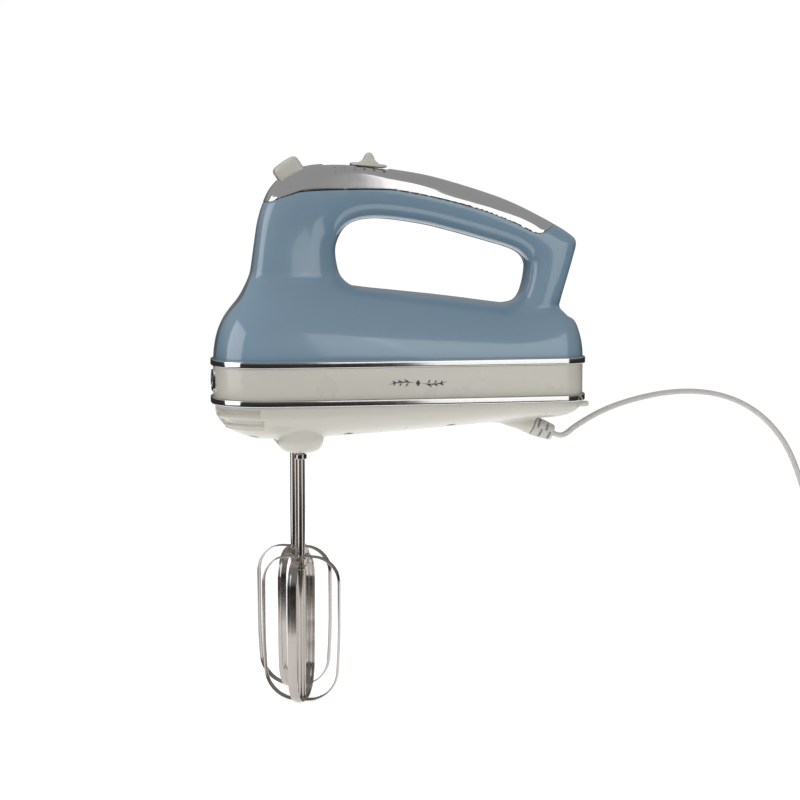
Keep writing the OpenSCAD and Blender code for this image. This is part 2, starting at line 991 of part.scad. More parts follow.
module plug_body() {
    color(CORD_GREY)
        translate([plug_x, plug_y, plug_z])
            rotate([-90, 0, 0]) {
                cylinder(h = 12, r = 4.4);
                translate([0, 0, 10])
                    linear_extrude(26)
                        rotate([0, 0, 90])
                            offset_square(13.8, 25, 6);
            }
}
module plug_pins() {
    color(STEEL)
        for (s = [-1, 1])
            translate([plug_x + s * 9.3, plug_y + 36, plug_z])
                rotate([-90, 0, 0])
                    cylinder(h = 19, r = 2);
}

// ---------------------------------------------------------------- spindles and beaters

// Everything that turns on one beater axis: s is -1 for left, 1 for right
module on_axis(s, z) {
    translate([beater_x, s * beater_y, z])
        children();
}

gear_t = 3;
module worm_gear(s) {
    tip = 1;
    points = 8 * gear_teeth;
    lead_angle = 90 / gear_teeth;
    color(NATURAL)
        on_axis(s, motor_z - gear_t / 2)
            difference() {
                union() {
                    linear_extrude(gear_t)
                        polygon([for (k = [0 : points - 1])
                            let (
                                a = 360 * k / points,
                                r = gear_mid_r + tip * cos(gear_teeth * (a - lead_angle))
                            )
                            [r * cos(a), r * sin(a)]]);
                    translate([0, 0, -4])
                        cylinder(h = gear_t + 8, r = 8);
                }
                translate([0, 0, -5])
                    cylinder(h = gear_t + 10, r = socket_r + 0.02);
            }
}
module worm_gear_left() {
    worm_gear(-1);
}
module worm_gear_right() {
    worm_gear(1);
}

module drive_socket(s) {
    color(STEEL)
        on_axis(s, socket_bottom_z)
            tube(socket_top_z - socket_bottom_z, socket_r, socket_bore_r);
}
module drive_socket_left() {
    drive_socket(-1);
}
module drive_socket_right() {
    drive_socket(1);
}

module socket_clip(s) {
    color(STEEL)
        on_axis(s, -108)
            difference() {
                tube(1, socket_r + 2, socket_r + 0.02);
                translate([0, -1.5, -1])
                    cube([9, 3, 3]);
            }
}
module socket_clip_left() {
    socket_clip(-1);
}
module socket_clip_right() {
    socket_clip(1);
}

pin_head_z = -66;
module eject_pin(s) {
    color(NATURAL)
        on_axis(s, 0) {
            translate([0, 0, stem_top_z + 0.1])
                cylinder(h = pin_head_z - stem_top_z, r = stem_r);
            translate([0, 0, pin_head_z])
                cylinder(h = 4, r = 5);
        }
}
module eject_pin_left() {
    eject_pin(-1);
}
module eject_pin_right() {
    eject_pin(1);
}

collar_z = socket_bottom_z - 6;
collar_h = 3;
module beater_stem(s) {
    color(STEEL)
        on_axis(s, floor_z + 2)
            cylinder(h = stem_top_z - floor_z - 2, r = stem_r);
}
module beater_stem_left() {
    beater_stem(-1);
}
module beater_stem_right() {
    beater_stem(1);
}
module beater_collar(s) {
    color(STEEL)
        on_axis(s, collar_z)
            tube(collar_h, 3.4, stem_r + 0.02);
}
module beater_collar_left() {
    beater_collar(-1);
}
module beater_collar_right() {
    beater_collar(1);
}

// Outline of one strip loop's outer edge, grown by o: flat shoulders and a narrower foot
function cage_outline(o) = let (
        top = cage_top_z - strip_t / 2 + o,
        bottom = floor_z + strip_t / 2 - o,
        r = cage_r + o
    )
    concat(
        [for (a = [0 : 15 : 90]) [r - 15 + 15 * sin(a), top - 15 + 15 * cos(a)]],
        [[r, bottom + 34]],
        [for (a = [90 : 15 : 180]) [r - 19 + 18 * sin(a), bottom + 18 + 18 * cos(a)]]
    );
module cage_loop() {
    function both(o) = let (side = cage_outline(o))
        concat(side, [for (i = [len(side) - 1 : -1 : 0]) [-side[i].x, side[i].y]]);
    rotate([90, 0, 0])
        linear_extrude(strip_w, center = true)
            difference() {
                polygon(both(strip_t / 2));
                polygon(both(-strip_t / 2));
            }
}
module beater_cage(s, phase) {
    color(STEEL)
        on_axis(s, 0)
            difference() {
                union() {
                    rotate([0, 0, phase])
                        cage_loop();
                    rotate([0, 0, phase + 90])
                        cage_loop();
                    translate([0, 0, cage_top_z - 1.5])
                        cylinder(h = 3, r = 4.2);
                    translate([0, 0, floor_z])
                        cylinder(h = 3, r = 4.2);
                }
                translate([0, 0, floor_z + 2])
                    cylinder(h = 100, r = stem_r + 0.02);
            }
}
module beater_cage_left() {
    beater_cage(-1, left_phase);
}
module beater_cage_right() {
    beater_cage(1, -45 - left_phase);
}

// ---------------------------------------------------------------- ejector and button

yoke_z = pin_head_z + 4.4;
yoke_top_z = -0.7;
module ejector_yoke() {
    color(NATURAL) {
        on_axis(0, yoke_z) {
            translate([-7, -beater_y - 5, 0])
                cube([14, 2 * beater_y + 10, 3.4]);
            translate([-4, -4, 3])
                cube([8, 8, yoke_top_z - yoke_z - 5]);
            translate([-4, -6, yoke_top_z - yoke_z - 3])
                cube([18, 12, 3]);
        }
    }
}
module eject_button() {
    color(CREAM)
        press_frame() {
            translate([0, 0, -12])
                linear_extrude(12)
                    offset_square(2 * button_half, 2 * button_half, 3);
            translate([0, 0, -24])
                cylinder(h = 14, r = 4);
            translate([0, 0, -24])
                sphere(4);
        }
}
module eject_spring() {
    color(STEEL)
        on_axis(0, spring_seat_z + 0.2)
            coil_spring(6.8, 0.7, yoke_top_z - 3.4 - spring_seat_z, 7);
}

housing_left();
housing_right();
handle_cover();
middle_band();
upper_trim();
lower_trim();
lower_housing();
badge();
heel_feet();
housing_screws();
base_screws();
gearbox_frame();
gearbox_cover();
spindle_bushes();
motor_bearing_front();
motor_bearing_rear();
motor_bracket();
stator_core();
field_coils();
brush_holders();
carbon_brushes();
brush_springs();
switch_housing();
switch_contacts();
terminal_block();
lead_wires();
cord_clamp();
cord_boot();
cord();
cord_coil();
cord_tie();
cord_tail();
plug_body();
plug_pins();
eject_spring();
motor_shaft();
motor_worm();
armature_core();
armature_windings();
commutator();
cooling_fan();
worm_gear_left();
drive_socket_left();
socket_clip_left();
eject_pin_left();
beater_stem_left();
beater_cage_left();
beater_collar_left();
worm_gear_right();
drive_socket_right();
socket_clip_right();
eject_pin_right();
beater_stem_right();
beater_cage_right();
beater_collar_right();
eject_button();
ejector_yoke();
speed_knob();
switch_slide();
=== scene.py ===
import math

import bpy
import numpy as np
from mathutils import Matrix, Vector


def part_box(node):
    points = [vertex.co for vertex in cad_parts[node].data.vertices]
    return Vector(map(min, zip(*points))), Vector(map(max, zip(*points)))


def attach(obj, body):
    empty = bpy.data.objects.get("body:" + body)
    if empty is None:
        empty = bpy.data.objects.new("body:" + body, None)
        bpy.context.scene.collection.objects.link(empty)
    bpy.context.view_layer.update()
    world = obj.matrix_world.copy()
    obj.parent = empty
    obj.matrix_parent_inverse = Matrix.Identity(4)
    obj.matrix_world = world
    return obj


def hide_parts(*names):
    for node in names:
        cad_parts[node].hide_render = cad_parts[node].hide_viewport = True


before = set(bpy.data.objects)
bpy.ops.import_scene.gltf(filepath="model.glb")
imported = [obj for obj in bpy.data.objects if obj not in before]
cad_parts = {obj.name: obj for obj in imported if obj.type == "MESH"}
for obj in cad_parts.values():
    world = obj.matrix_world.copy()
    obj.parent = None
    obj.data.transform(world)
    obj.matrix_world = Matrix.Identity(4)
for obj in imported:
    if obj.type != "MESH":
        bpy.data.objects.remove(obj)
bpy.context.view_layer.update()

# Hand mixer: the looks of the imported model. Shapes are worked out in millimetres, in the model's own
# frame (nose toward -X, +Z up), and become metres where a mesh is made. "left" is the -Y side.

MM = 0.001


def box_mm(node):
    """Lowest and highest corner of a CAD node, in millimetres."""
    return tuple(np.array(corner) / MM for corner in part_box(node))


# ------------------------------------------------------------------ sizes read from the frame

BAND_LO, BAND_HI = box_mm("middle_band")
TRIM_HI = box_mm("upper_trim")[1]
NOSE_X, TAIL_X = BAND_LO[0], BAND_HI[0]
BASE_HALF_W = BAND_HI[1]
TAIL_HALF_W = 28
TRIM_PROUD = TRIM_HI[1] - BAND_HI[1]
RIM_Z = TRIM_HI[2]
LOWER_RIM_Z = box_mm("lower_trim")[0][2]
FLOOR_Z = box_mm("beater_cage_left")[0][2]
CAGE_TOP_Z = box_mm("beater_cage_left")[1][2]
BEATER_X = (box_mm("beater_stem_left")[0][0] + box_mm("beater_stem_left")[1][0]) / 2
BEATER_Y = (box_mm("beater_stem_right")[0][1] + box_mm("beater_stem_right")[1][1]) / 2
STEM_R = (box_mm("beater_stem_right")[1][1] - box_mm("beater_stem_right")[0][1]) / 2
WALL = 2.4
NOSE_ROUND = 35
TAIL_ROUND = 20

# ------------------------------------------------------------------ camera

CAMERA_AZIMUTH = math.radians(-9)
CAMERA_ELEVATION = math.radians(5)
CAMERA_DISTANCE = 1.1
CAMERA_TARGET = Vector((-0.0173, 0, -0.1138))
CAMERA_LENS = 85


def make_camera():
    data = bpy.data.cameras.new("camera")
    data.lens = CAMERA_LENS
    data.clip_start = 0.05
    data.clip_end = 20
    camera = bpy.data.objects.new("camera", data)
    bpy.context.scene.collection.objects.link(camera)
    turn, rise = CAMERA_AZIMUTH, CAMERA_ELEVATION
    back = Vector((math.sin(turn) * math.cos(rise), -math.cos(turn) * math.cos(rise), math.sin(rise)))
    camera.location = CAMERA_TARGET + back * CAMERA_DISTANCE
    camera.rotation_euler = (-back).to_track_quat("-Z", "Y").to_euler()
    bpy.context.scene.camera = camera


make_camera()

# ------------------------------------------------------------------ materials

SPACE = "ShaderNodeTexCoord"
RANGE_SOCKETS = ("From Min", "From Max", "To Min", "To Max")


class Finish:
    """A procedural material: a Principled shader with noise, wear and bump at real scale."""

    def __init__(self, name, color, roughness, metallic=0.0, **constants):
        self.material = bpy.data.materials.new(name)
        self.material.use_nodes = True
        self.nodes = self.material.node_tree.nodes
        self.links = self.material.node_tree.links
        self.shader = self.nodes["Principled BSDF"]
        self.set("Base Color", (*color, 1))
        self.set("Roughness", roughness)
        self.set("Metallic", metallic)
        for socket, value in constants.items():
            self.set(socket.replace("_", " "), value)
        self.color = color
        self.roughness = roughness
        self.space = self.nodes.new(SPACE).outputs["Object"]
        self.normal = None

    def set(self, socket, value):
        self.shader.inputs[socket].default_value = value

    def noise(self, size_mm, detail=3.0, stretch=(1, 1, 1)):
        """Noise whose features are about size_mm across, stretched along an axis."""
        vector = self.space
        if stretch != (1, 1, 1):
            mapping = self.nodes.new("ShaderNodeMapping")
            mapping.inputs["Scale"].default_value = stretch
            self.links.new(vector, mapping.inputs["Vector"])
            vector = mapping.outputs["Vector"]
        texture = self.nodes.new("ShaderNodeTexNoise")
        texture.inputs["Scale"].default_value = 1 / (size_mm * MM)
        texture.inputs["Detail"].default_value = detail
        self.links.new(vector, texture.inputs["Vector"])
        return texture.outputs["Fac"]

    def between(self, factor, low, high, out_low, out_high):
        """factor mapped from low..high to out_low..out_high."""
        node = self.nodes.new("ShaderNodeMapRange")
        for socket, value in zip(RANGE_SOCKETS, (low, high, out_low, out_high)):
            node.inputs[socket].default_value = value
        self.links.new(factor, node.inputs["Value"])
        return node.outputs["Result"]

    def vary_color(self, factor, amount):
        """Base colour slightly darker and lighter with a 0..1 factor."""
        mix = self.nodes.new("ShaderNodeMix")
        mix.data_type = "RGBA"
        mix.inputs["A"].default_value = (*[c * (1 - amount) for c in self.color], 1)
        mix.inputs["B"].default_value = (*[min(1, c * (1 + amount)) for c in self.color], 1)
        self.links.new(factor, mix.inputs["Factor"])
        self.links.new(mix.outputs["Result"], self.shader.inputs["Base Color"])
        return self

    def vary_roughness(self, factor, amount):
        low, high = self.roughness * (1 - amount), self.roughness * (1 + amount)
        self.links.new(self.between(factor, 0.3, 0.7, low, high), self.shader.inputs["Roughness"])
        return self

    def bump(self, factor, height_mm, strength=1.0):
        node = self.nodes.new("ShaderNodeBump")
        node.inputs["Distance"].default_value = height_mm * MM
        node.inputs["Strength"].default_value = strength
        self.links.new(factor, node.inputs["Height"])
        if self.normal:
            self.links.new(self.normal, node.inputs["Normal"])
        self.normal = node.outputs["Normal"]
        self.links.new(self.normal, self.shader.inputs["Normal"])
        return self


def moulded(name, color, roughness, coat=0.0):
    """Glossy moulded plastic: faint flow mottling and fine haze."""
    finish = Finish(name, color, roughness, Coat_Weight=coat, Coat_Roughness=0.06, IOR=1.5)
    finish.vary_color(finish.noise(7, 2), 0.012)
    finish.vary_roughness(finish.noise(14, 3), 0.12)
    finish.bump(finish.noise(0.5, 1), 0.0006)
    return finish.material


def plated(name, color, roughness, ripple=0.0015):
    """Plated or polished metal: faint haze and handling marks."""
    finish = Finish(name, color, roughness, 1.0)
    finish.vary_color(finish.noise(12, 3), 0.025)
    finish.vary_roughness(finish.noise(4, 5), 0.15)
    finish.bump(finish.noise(9, 1), ripple)
    return finish.material


def drawn(name, color, roughness, along):
    """Drawn or turned metal with fine lines along one axis."""
    finish = Finish(name, color, roughness, 1.0)
    stretch = tuple(0.04 if axis == along else 1 for axis in "xyz")
    lines = finish.noise(0.5, 3, stretch)
    finish.vary_color(lines, 0.06)
    finish.vary_roughness(lines, 0.3)
    finish.bump(lines, 0.002)
    return finish.material


def matte(name, color, roughness=0.5, grain_mm=0.6, height=0.006):
    """Matte moulded plastic, pressed carbon or PVC with a fine grain."""
    finish = Finish(name, color, roughness, IOR=1.47)
    finish.vary_color(finish.noise(9, 3), 0.04)
    finish.vary_roughness(finish.noise(2, 3), 0.15)
    finish.bump(finish.noise(grain_mm, 2), height)
    return finish.material


def wound(name, color):
    """Enamelled copper winding: strands lying side by side."""
    finish = Finish(name, color, 0.32, 1.0)
    strands = finish.nodes.new("ShaderNodeTexWave")
    strands.inputs["Scale"].default_value = 1 / (0.9 * MM)
    strands.inputs["Distortion"].default_value = 1.5
    finish.links.new(finish.space, strands.inputs["Vector"])
    finish.vary_color(strands.outputs["Fac"], 0.2)
    finish.bump(strands.outputs["Fac"], 0.12)
    return finish.material


MATERIALS = {
    "blue_gloss": moulded("blue_gloss", (0.212, 0.318, 0.412), 0.2, coat=1.0),
    "cream_gloss": moulded("cream_gloss", (0.62, 0.60, 0.53), 0.3, coat=0.25),
    "chrome": plated("chrome", (0.80, 0.79, 0.77), 0.10),
    "steel": plated("steel", (0.43, 0.395, 0.37), 0.14),
    "machined_steel": drawn("machined_steel", (0.52, 0.52, 0.52), 0.32, "x"),
    "copper": wound("copper", (0.60, 0.27, 0.12)),
    "brass": drawn("brass", (0.60, 0.42, 0.16), 0.35, "z"),
    "black_plastic": matte("black_plastic", (0.018, 0.018, 0.02)),
    "natural_plastic": matte("natural_plastic", (0.72, 0.68, 0.56), 0.42),
    "carbon": matte("carbon", (0.012, 0.012, 0.012), 0.7, 0.3, 0.02),
    "cord_pvc": matte("cord_pvc", (0.56, 0.55, 0.52), 0.42, 0.5, 0.004),
}
INK = matte("dark_print", (0.05, 0.055, 0.065), 0.45, 0.3, 0.002)


def dress_cad_nodes():
    """Every CAD node takes its slot's procedural material."""
    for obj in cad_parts.values():
        for place in obj.material_slots:
            own = place.material.name.split(".")[0] if place.material else None
            if own in MATERIALS:
                place.material = MATERIALS[own]


# ------------------------------------------------------------------ mesh making


def make_piece(name, points, faces, slot, body, replaces=(), sharp=32, material=None):
    """A closed mesh piece from points in millimetres: dressed, riding on a body, standing for CAD nodes."""
    mesh = bpy.data.meshes.new(name)
    mesh.from_pydata([tuple(p) for p in np.asarray(points) * MM], [], faces)
    mesh.validate()
    mesh.polygons.foreach_set("use_smooth", [True] * len(mesh.polygons))
    mesh.set_sharp_from_angle(angle=math.radians(sharp))
    mesh.materials.append(material or MATERIALS[slot])
    mesh.update()
    piece = bpy.data.objects.new(name, mesh)
    bpy.context.scene.collection.objects.link(piece)
    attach(piece, body)
    if replaces:
        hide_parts(*replaces)
    return piece


def joined(*shells):
    """Several (points, faces) shells as one."""
    points, faces, start = [], [], 0
    for shell_points, shell_faces in shells:
        points.append(np.asarray(shell_points, float))
        faces += [tuple(i + start for i in face) for face in shell_faces]
        start += len(shell_points)
    return np.vstack(points), faces


def circle_angles(count):
    """Angles evenly spaced round a circle."""
    return np.linspace(0, 2 * math.pi, count + 1)[:-1]


def loft(rings, closed=False):
    """Shell through rings of equal length, with flat ends unless the last ring joins the first."""
    n, m = len(rings[0]), len(rings)
    faces = []
    for r in range(m if closed else m - 1):
        s = (r + 1) % m
        faces += [(r * n + i, r * n + (i + 1) % n, s * n + (i + 1) % n, s * n + i) for i in range(n)]
    if not closed:
        faces.append(tuple(reversed(range(n))))
        faces.append(tuple(range((m - 1) * n, m * n)))
    return np.vstack(rings), faces


def smooth_curve(points, steps, closed):
    """Catmull-Rom curve through the points, with steps from each to the next."""
    points = np.asarray(points, float)
    n = len(points)
    out = []
    for i in range(n if closed else n - 1):
        if closed:
            a, b, c, d = (points[(i + k) % n] for k in (-1, 0, 1, 2))
        else:
            a, b, c, d = points[max(i - 1, 0)], points[i], points[i + 1], points[min(i + 2, n - 1)]
        for k in range(steps):
            t = k / steps
            cubic = 2 * b + (c - a) * t + (2 * a - 5 * b + 4 * c - d) * t ** 2
            out.append(0.5 * (cubic + (3 * b - a - 3 * c + d) * t ** 3))
    if not closed:
        out.append(points[-1])
    return np.array(out)


def resampled(line, step, closed=False):
    """The polyline with points every step or so."""
    line = np.vstack([line, line[:1]]) if closed else np.asarray(line)
    along = np.concatenate([[0], np.cumsum(np.linalg.norm(np.diff(line, axis=0), axis=1))])
    count = max(3, round(along[-1] / step))
    at = np.linspace(0, along[-1], count + 1)
    out = np.stack([np.interp(at, along, line[:, k]) for k in range(line.shape[1])], 1)
    return out[:-1] if closed else out


def smoothstep(x, low, high):
    t = np.clip((x - low) / (high - low), 0, 1)
    return t * t * (3 - 2 * t)


def smooth_max(a, b, k):
    """Maximum of a and b, rounded over a width k."""
    h = np.clip(0.5 + 0.5 * (a - b) / k, 0, 1)
    return b * (1 - h) + a * h + k * h * (1 - h)


def smooth_min(a, b, k):
    return -smooth_max(-a, -b, k)


class DistanceMap:
    """Signed distance to a closed outline, negative inside, looked up between grid points."""

    STEP = 0.75

    def __init__(self, outline, margin=16.0, soften=0.0):
        outline = np.asarray(outline, float)
        self.low = outline.min(0) - margin
        counts = np.ceil((outline.max(0) + margin - self.low) / self.STEP).astype(int) + 1
        grid = np.stack(np.meshgrid(*[self.low[k] + self.STEP * np.arange(counts[k]) for k in (0, 1)],
                                    indexing="ij"), -1).reshape(-1, 2)
        nearest = np.full(len(grid), np.inf)
        inside = np.zeros(len(grid), bool)
        for a, b in zip(outline, np.roll(outline, -1, axis=0)):
            edge = b - a
            t = np.clip(((grid - a) @ edge) / (edge @ edge), 0, 1)
            offset = grid - a - t[:, None] * edge
            nearest = np.minimum(nearest, np.einsum("ij,ij->i", offset, offset))
            if a[1] != b[1]:
                crosses = (a[1] > grid[:, 1]) != (b[1] > grid[:, 1])
                inside ^= crosses & (grid[:, 0] < a[0] + edge[0] * (grid[:, 1] - a[1]) / edge[1])
        values = np.where(inside, -1, 1) * np.sqrt(nearest)
        self.values = values.reshape(counts)
        if soften:
            self.soften(soften)

    def soften(self, reach):
        """Rounds the ridges of the distance away from the outline, which stays exact."""
        blurred = self.values
        for _ in range(round((reach / self.STEP) ** 2 / 2)):
            padded = np.pad(blurred, 1, mode="edge")
            sides = padded[:-2, 1:-1] + padded[2:, 1:-1] + padded[1:-1, :-2] + padded[1:-1, 2:]
            blurred = 0.5 * blurred + 0.125 * sides
        weight = smoothstep(np.abs(self.values), 0.5, 2 * reach)
        self.values = self.values * (1 - weight) + blurred * weight

    def __call__(self, u, v):
        at = (np.stack([u, v], -1) - self.low) / self.STEP
        at = np.clip(at, 0, np.array(self.values.shape) - 1.001)
        i = at.astype(int)
        f, g = (at - i).T
        i, j = i.T
        w = self.values
        near = w[i, j] * (1 - f) + w[i + 1, j] * f
        far = w[i, j + 1] * (1 - f) + w[i + 1, j + 1] * f
        return near * (1 - g) + far * g


def gradient(field, points, h=0.05):
    steps = [field(points + h * axis) - field(points - h * axis) for axis in np.eye(3)]
    return np.stack(steps, -1) / (2 * h)


def settle(field, points, rounds=4):
    """Moves the points onto the field's zero surface."""
    for _ in range(rounds):
        slope = gradient(field, points)
        step = field(points) / np.maximum(np.einsum("ij,ij->i", slope, slope), 0.05)
        points = points - np.clip(step, -1, 1)[:, None] * slope
    return points


def surface_net(field, low, high, step):
    """Quads on the zero surface of the field inside a box, with their points on the surface."""
    axes = [np.arange(a, b + step, step) for a, b in zip(low, high)]
    grid = np.stack(np.meshgrid(*axes, indexing="ij"), -1)
    value = field(grid.reshape(-1, 3)).reshape(grid.shape[:3])
    cells = np.array(value.shape) - 1
    total = np.zeros((*cells, 3))
    count = np.zeros(cells, int)
    crossings = []
    for axis in range(3):
        first, last = [slice(None)] * 3, [slice(None)] * 3
        first[axis], last[axis] = slice(0, -1), slice(1, None)
        a, b = value[tuple(first)], value[tuple(last)]
        spots = np.argwhere((a < 0) != (b < 0))
        va, vb = a[tuple(spots.T)], b[tuple(spots.T)]
        where = grid[tuple(spots.T)].copy()
        where[:, axis] += step * va / (va - vb)
        others = [k for k in range(3) if k != axis]
        around = []
        for da, db in ((0, 0), (-1, 0), (-1, -1), (0, -1)):
            cell = spots.copy()
            cell[:, others[0]] += da
            cell[:, others[1]] += db
            around.append(cell)
        fits = np.all([np.all((c >= 0) & (c < cells), axis=1) for c in around], axis=0)
        for cell in around:
            ok = np.all((cell >= 0) & (cell < cells), axis=1)
            np.add.at(total, tuple(cell[ok].T), where[ok])
            np.add.at(count, tuple(cell[ok].T), 1)
        flip = (va < 0) != (axis == 1)
        crossings.append((np.stack(around, 1)[fits], flip[fits]))
    used = count > 0
    index = np.full(cells, -1)
    index[used] = np.arange(used.sum())
    points = total[used] / count[used][:, None]
    faces = []
    for quads, flip in crossings:
        ids = index[tuple(quads.reshape(-1, 3).T)].reshape(-1, 4)
        faces += [tuple(q) if f else tuple(q[::-1]) for q, f in zip(ids.tolist(), flip)]
    return settle(field, points), faces


def onto(keep, points):
    """The points moved onto the zero line of keep in one step."""
    slope = gradient(keep, points)
    return points - (keep(points) / np.maximum(np.einsum("ij,ij->i", slope, slope), 0.05))[:, None] * slope


def clipped(points, faces, keep, field):
    """The part of a surface where keep(points) is negative, cut cleanly along its zero line."""
    value = keep(points)
    near = np.abs(value) < 0.12
    if near.any():
        points = points.copy()
        points[near] = onto(keep, points[near])
        value = value.copy()
        value[near] = 0
    kept, cuts, extra, out = value <= 0, {}, [], []

    def cut(i, j):
        key = (min(i, j), max(i, j))
        if key not in cuts:
            t = value[i] / (value[i] - value[j])
            cuts[key] = len(points) + len(extra)
            extra.append(points[i] + t * (points[j] - points[i]))
        return cuts[key]

    for face in faces:
        flags = [kept[i] for i in face]
        if all(flags):
            out.append(face)
            continue
        if not any(flags):
            continue
        ring = []
        for i, j in zip(face, face[1:] + face[:1]):
            if kept[i]:
                ring.append(i)
            if kept[i] != kept[j] and value[i] != 0 and value[j] != 0:
                ring.append(cut(i, j))
        if len(ring) >= 3 and any(value[i] < 0 for i in ring if i < len(points)):
            out.append(tuple(ring))
    if extra:
        fresh = np.array(extra)
        for _ in range(3):
            fresh = onto(keep, settle(field, fresh, 1))
        points = np.vstack([points, fresh])
    return compact(points, out)


def compact(points, faces):
    """Drops points that no face uses."""
    used = sorted({i for face in faces for i in face})
    new = {old: k for k, old in enumerate(used)}
    return points[used], [tuple(new[i] for i in face) for face in faces]


def thickened(points, faces, wall, field, ease=0.18):
    """A closed shell: the surface, its offset wall deep, and the rims between, slightly eased."""
    normal = gradient(field, points)
    normal /= np.linalg.norm(normal, axis=1)[:, None]
    edges = {}
    for face in faces:
        for i, j in zip(face, face[1:] + face[:1]):
            edges[(i, j)] = True
    rim = [(i, j) for i, j in edges if (j, i) not in edges]
    outer = points.copy()
    border = sorted({i for edge in rim for i in edge})
    outer[border] -= ease * normal[border]
    inner = points - wall * normal
    n = len(points)
    shell = list(faces) + [tuple(i + n for i in reversed(face)) for face in faces]
    shell += [(j, i, i + n, j + n) for i, j in rim]
    return np.vstack([outer, inner]), shell


# ------------------------------------------------------------------ plan outline of the housing


def superellipse(angle, exponent):
    c, s = math.cos(angle), math.sin(angle)
    return abs(c) ** (2 / exponent), abs(s) ** (2 / exponent)


def side_half_w(x):
    u = max(0, (x - NOSE_X - NOSE_ROUND) / (TAIL_X - TAIL_ROUND - NOSE_X - NOSE_ROUND))
    return BASE_HALF_W + (TAIL_HALF_W - BASE_HALF_W) * u ** 1.5


def plan_outline(step):
    """The housing's outline at the rim, counter-clockwise seen from above, evenly spaced."""
    side = []
    for k in range(61):
        c, s = superellipse(math.radians(1.5 * k), 2.5)
        side.append((NOSE_X + NOSE_ROUND - NOSE_ROUND * c, BASE_HALF_W * s))
    for x in np.linspace(NOSE_X + NOSE_ROUND, TAIL_X - TAIL_ROUND, 60)[1:]:
        side.append((x, side_half_w(x)))
    for k in range(1, 61):
        c, s = superellipse(math.radians(90 - 1.5 * k), 2.3)
        side.append((TAIL_X - TAIL_ROUND + TAIL_ROUND * c, TAIL_HALF_W * s))
    side = np.array(side)
    ring = np.vstack([side[::-1], (side * (1, -1))[1:-1]])
    return resampled(ring, step, closed=True)


PLAN = plan_outline(1.5)
PLAN_MAP = DistanceMap(plan_outline(1.0))


def outward(ring):
    """Unit outward directions of a counter-clockwise closed ring of 2-D points."""
    along = np.roll(ring, -1, axis=0) - np.roll(ring, 1, axis=0)
    out = np.stack([along[:, 1], -along[:, 0]], 1)
    return out / np.linalg.norm(out, axis=1)[:, None]


def plan_sweep(section):
    """Closed ring: a section of (offset outward, height) points carried round the plan outline."""
    out = outward(PLAN)
    rings = [np.column_stack([PLAN + out * offset, np.full(len(PLAN), z)]) for offset, z in section]
    return loft(rings, closed=True)


def eased_rectangle(x0, x1, z0, z1, r0, r1, steps=4):
    """Rectangle with its corners at x0 rounded by r0 and at x1 by r1, counter-clockwise from the low
    inner one."""
    corners = [(x0 + r0, z0 + r0, r0, 180), (x1 - r1, z0 + r1, r1, 270), (x1 - r1, z1 - r1, r1, 0),
               (x0 + r0, z1 - r0, r0, 90)]
    out = []
    for cx, cz, r, start in corners:
        for k in range(steps + 1):
            a = math.radians(start + 90 * k / steps)
            out.append((cx + r * math.cos(a), cz + r * math.sin(a)))
    return out


def make_trims_and_band():
    for node in ("upper_trim", "lower_trim"):
        low, high = box_mm(node)[0][2], box_mm(node)[1][2]
        section = eased_rectangle(-WALL, TRIM_PROUD, low, high, 0.2, 0.5, 4)
        points, faces = plan_sweep(section)
        make_piece(node + "_ring", points, faces, "chrome", "root", [node], sharp=45)
    low, high = BAND_LO[2], BAND_HI[2]
    section = eased_rectangle(-WALL, 0, low + 0.03, high - 0.03, 0.2, 0.45, 3)
    points, faces = plan_sweep(section)
    make_piece("band_shell", points, faces, "cream_gloss", "root", ["middle_band"], sharp=45)


# ------------------------------------------------------------------ upper housing

GRIP_OUTSIDE = [
    (-108, -104), (-107.6, -80), (-107, -56), (-105.8, -46), (-104, -38), (-102, -24.3), (-99.9, -10.5),
    (-96.6, 0.7), (-92.4, 9), (-85.4, 16), (-75.5, 20.6), (-63.6, 22.6), (-46.3, 22.7), (-24.3, 20.1),
    (0.3, 16), (30.7, 7.4), (48.8, 0.8), (64.8, -6.9), (75.3, -12.5), (82.6, -17.2), (85.8, -20.4),
    (86.2, -24), (84.8, -29.5), (81.4, -41.4), (77.4, -55.5), (75.4, -66), (73, -104)
]
HOLE = [
    (-55, -27), (-52.6, -18.4), (-48, -12.6), (-40, -9.5), (-27, -9), (-5.6, -11.9), (12, -16), (31, -21.2),
    (45.4, -25.4), (52.6, -29), (56, -33.8), (56, -39.2), (54.8, -46), (52.6, -52), (49, -55.8),
    (43, -57), (30.6, -55.5), (6.7, -52), (-17.3, -49.8), (-42, -47.4), (-49, -45.2), (-53, -39)
]
SILHOUETTE = [
    (-125.6, -104), (-125.5, -90), (-124.8, -82.5), (-123.1, -73.5), (-120.3, -66.2), (-115.7, -60.2),
    (-110.6, -54.3), (-106.9, -47.2)
] + GRIP_OUTSIDE[4:24] + [
    (77.1, -57.6), (76.9, -61), (78.8, -64.6), (83.3, -66.8), (87, -70.9), (89, -77.5), (90.2, -90),
    (90.2, -104)
]
COVER_LINE = [
    (-112, -1), (-99, 0.4), (-94, 0.7), (-88, 2.6), (-82, 4.5), (-75.4, 6.2), (-60, 7.1), (-35.2, 7.5),
    (-20, 6.8), (3.5, 2.4), (27.3, -3.8), (45.2, -10.4), (56.5, -15.8), (60.2, -17), (63, -16.9),
    (67, -15), (72.5, -11.2), (84, -2)
]
GRIP_MAP = DistanceMap(smooth_curve(GRIP_OUTSIDE, 6, True), soften=5)
HOLE_MAP = DistanceMap(smooth_curve(HOLE, 6, True), soften=5)
SILHOUETTE_MAP = DistanceMap(smooth_curve(SILHOUETTE, 6, True))
COVER_MAP = DistanceMap(np.vstack([smooth_curve(COVER_LINE, 6, False), [(84, 60), (-112, 60)]]))
GRIP_HALF_W = 16.5
SECTION_POWER = 2.25
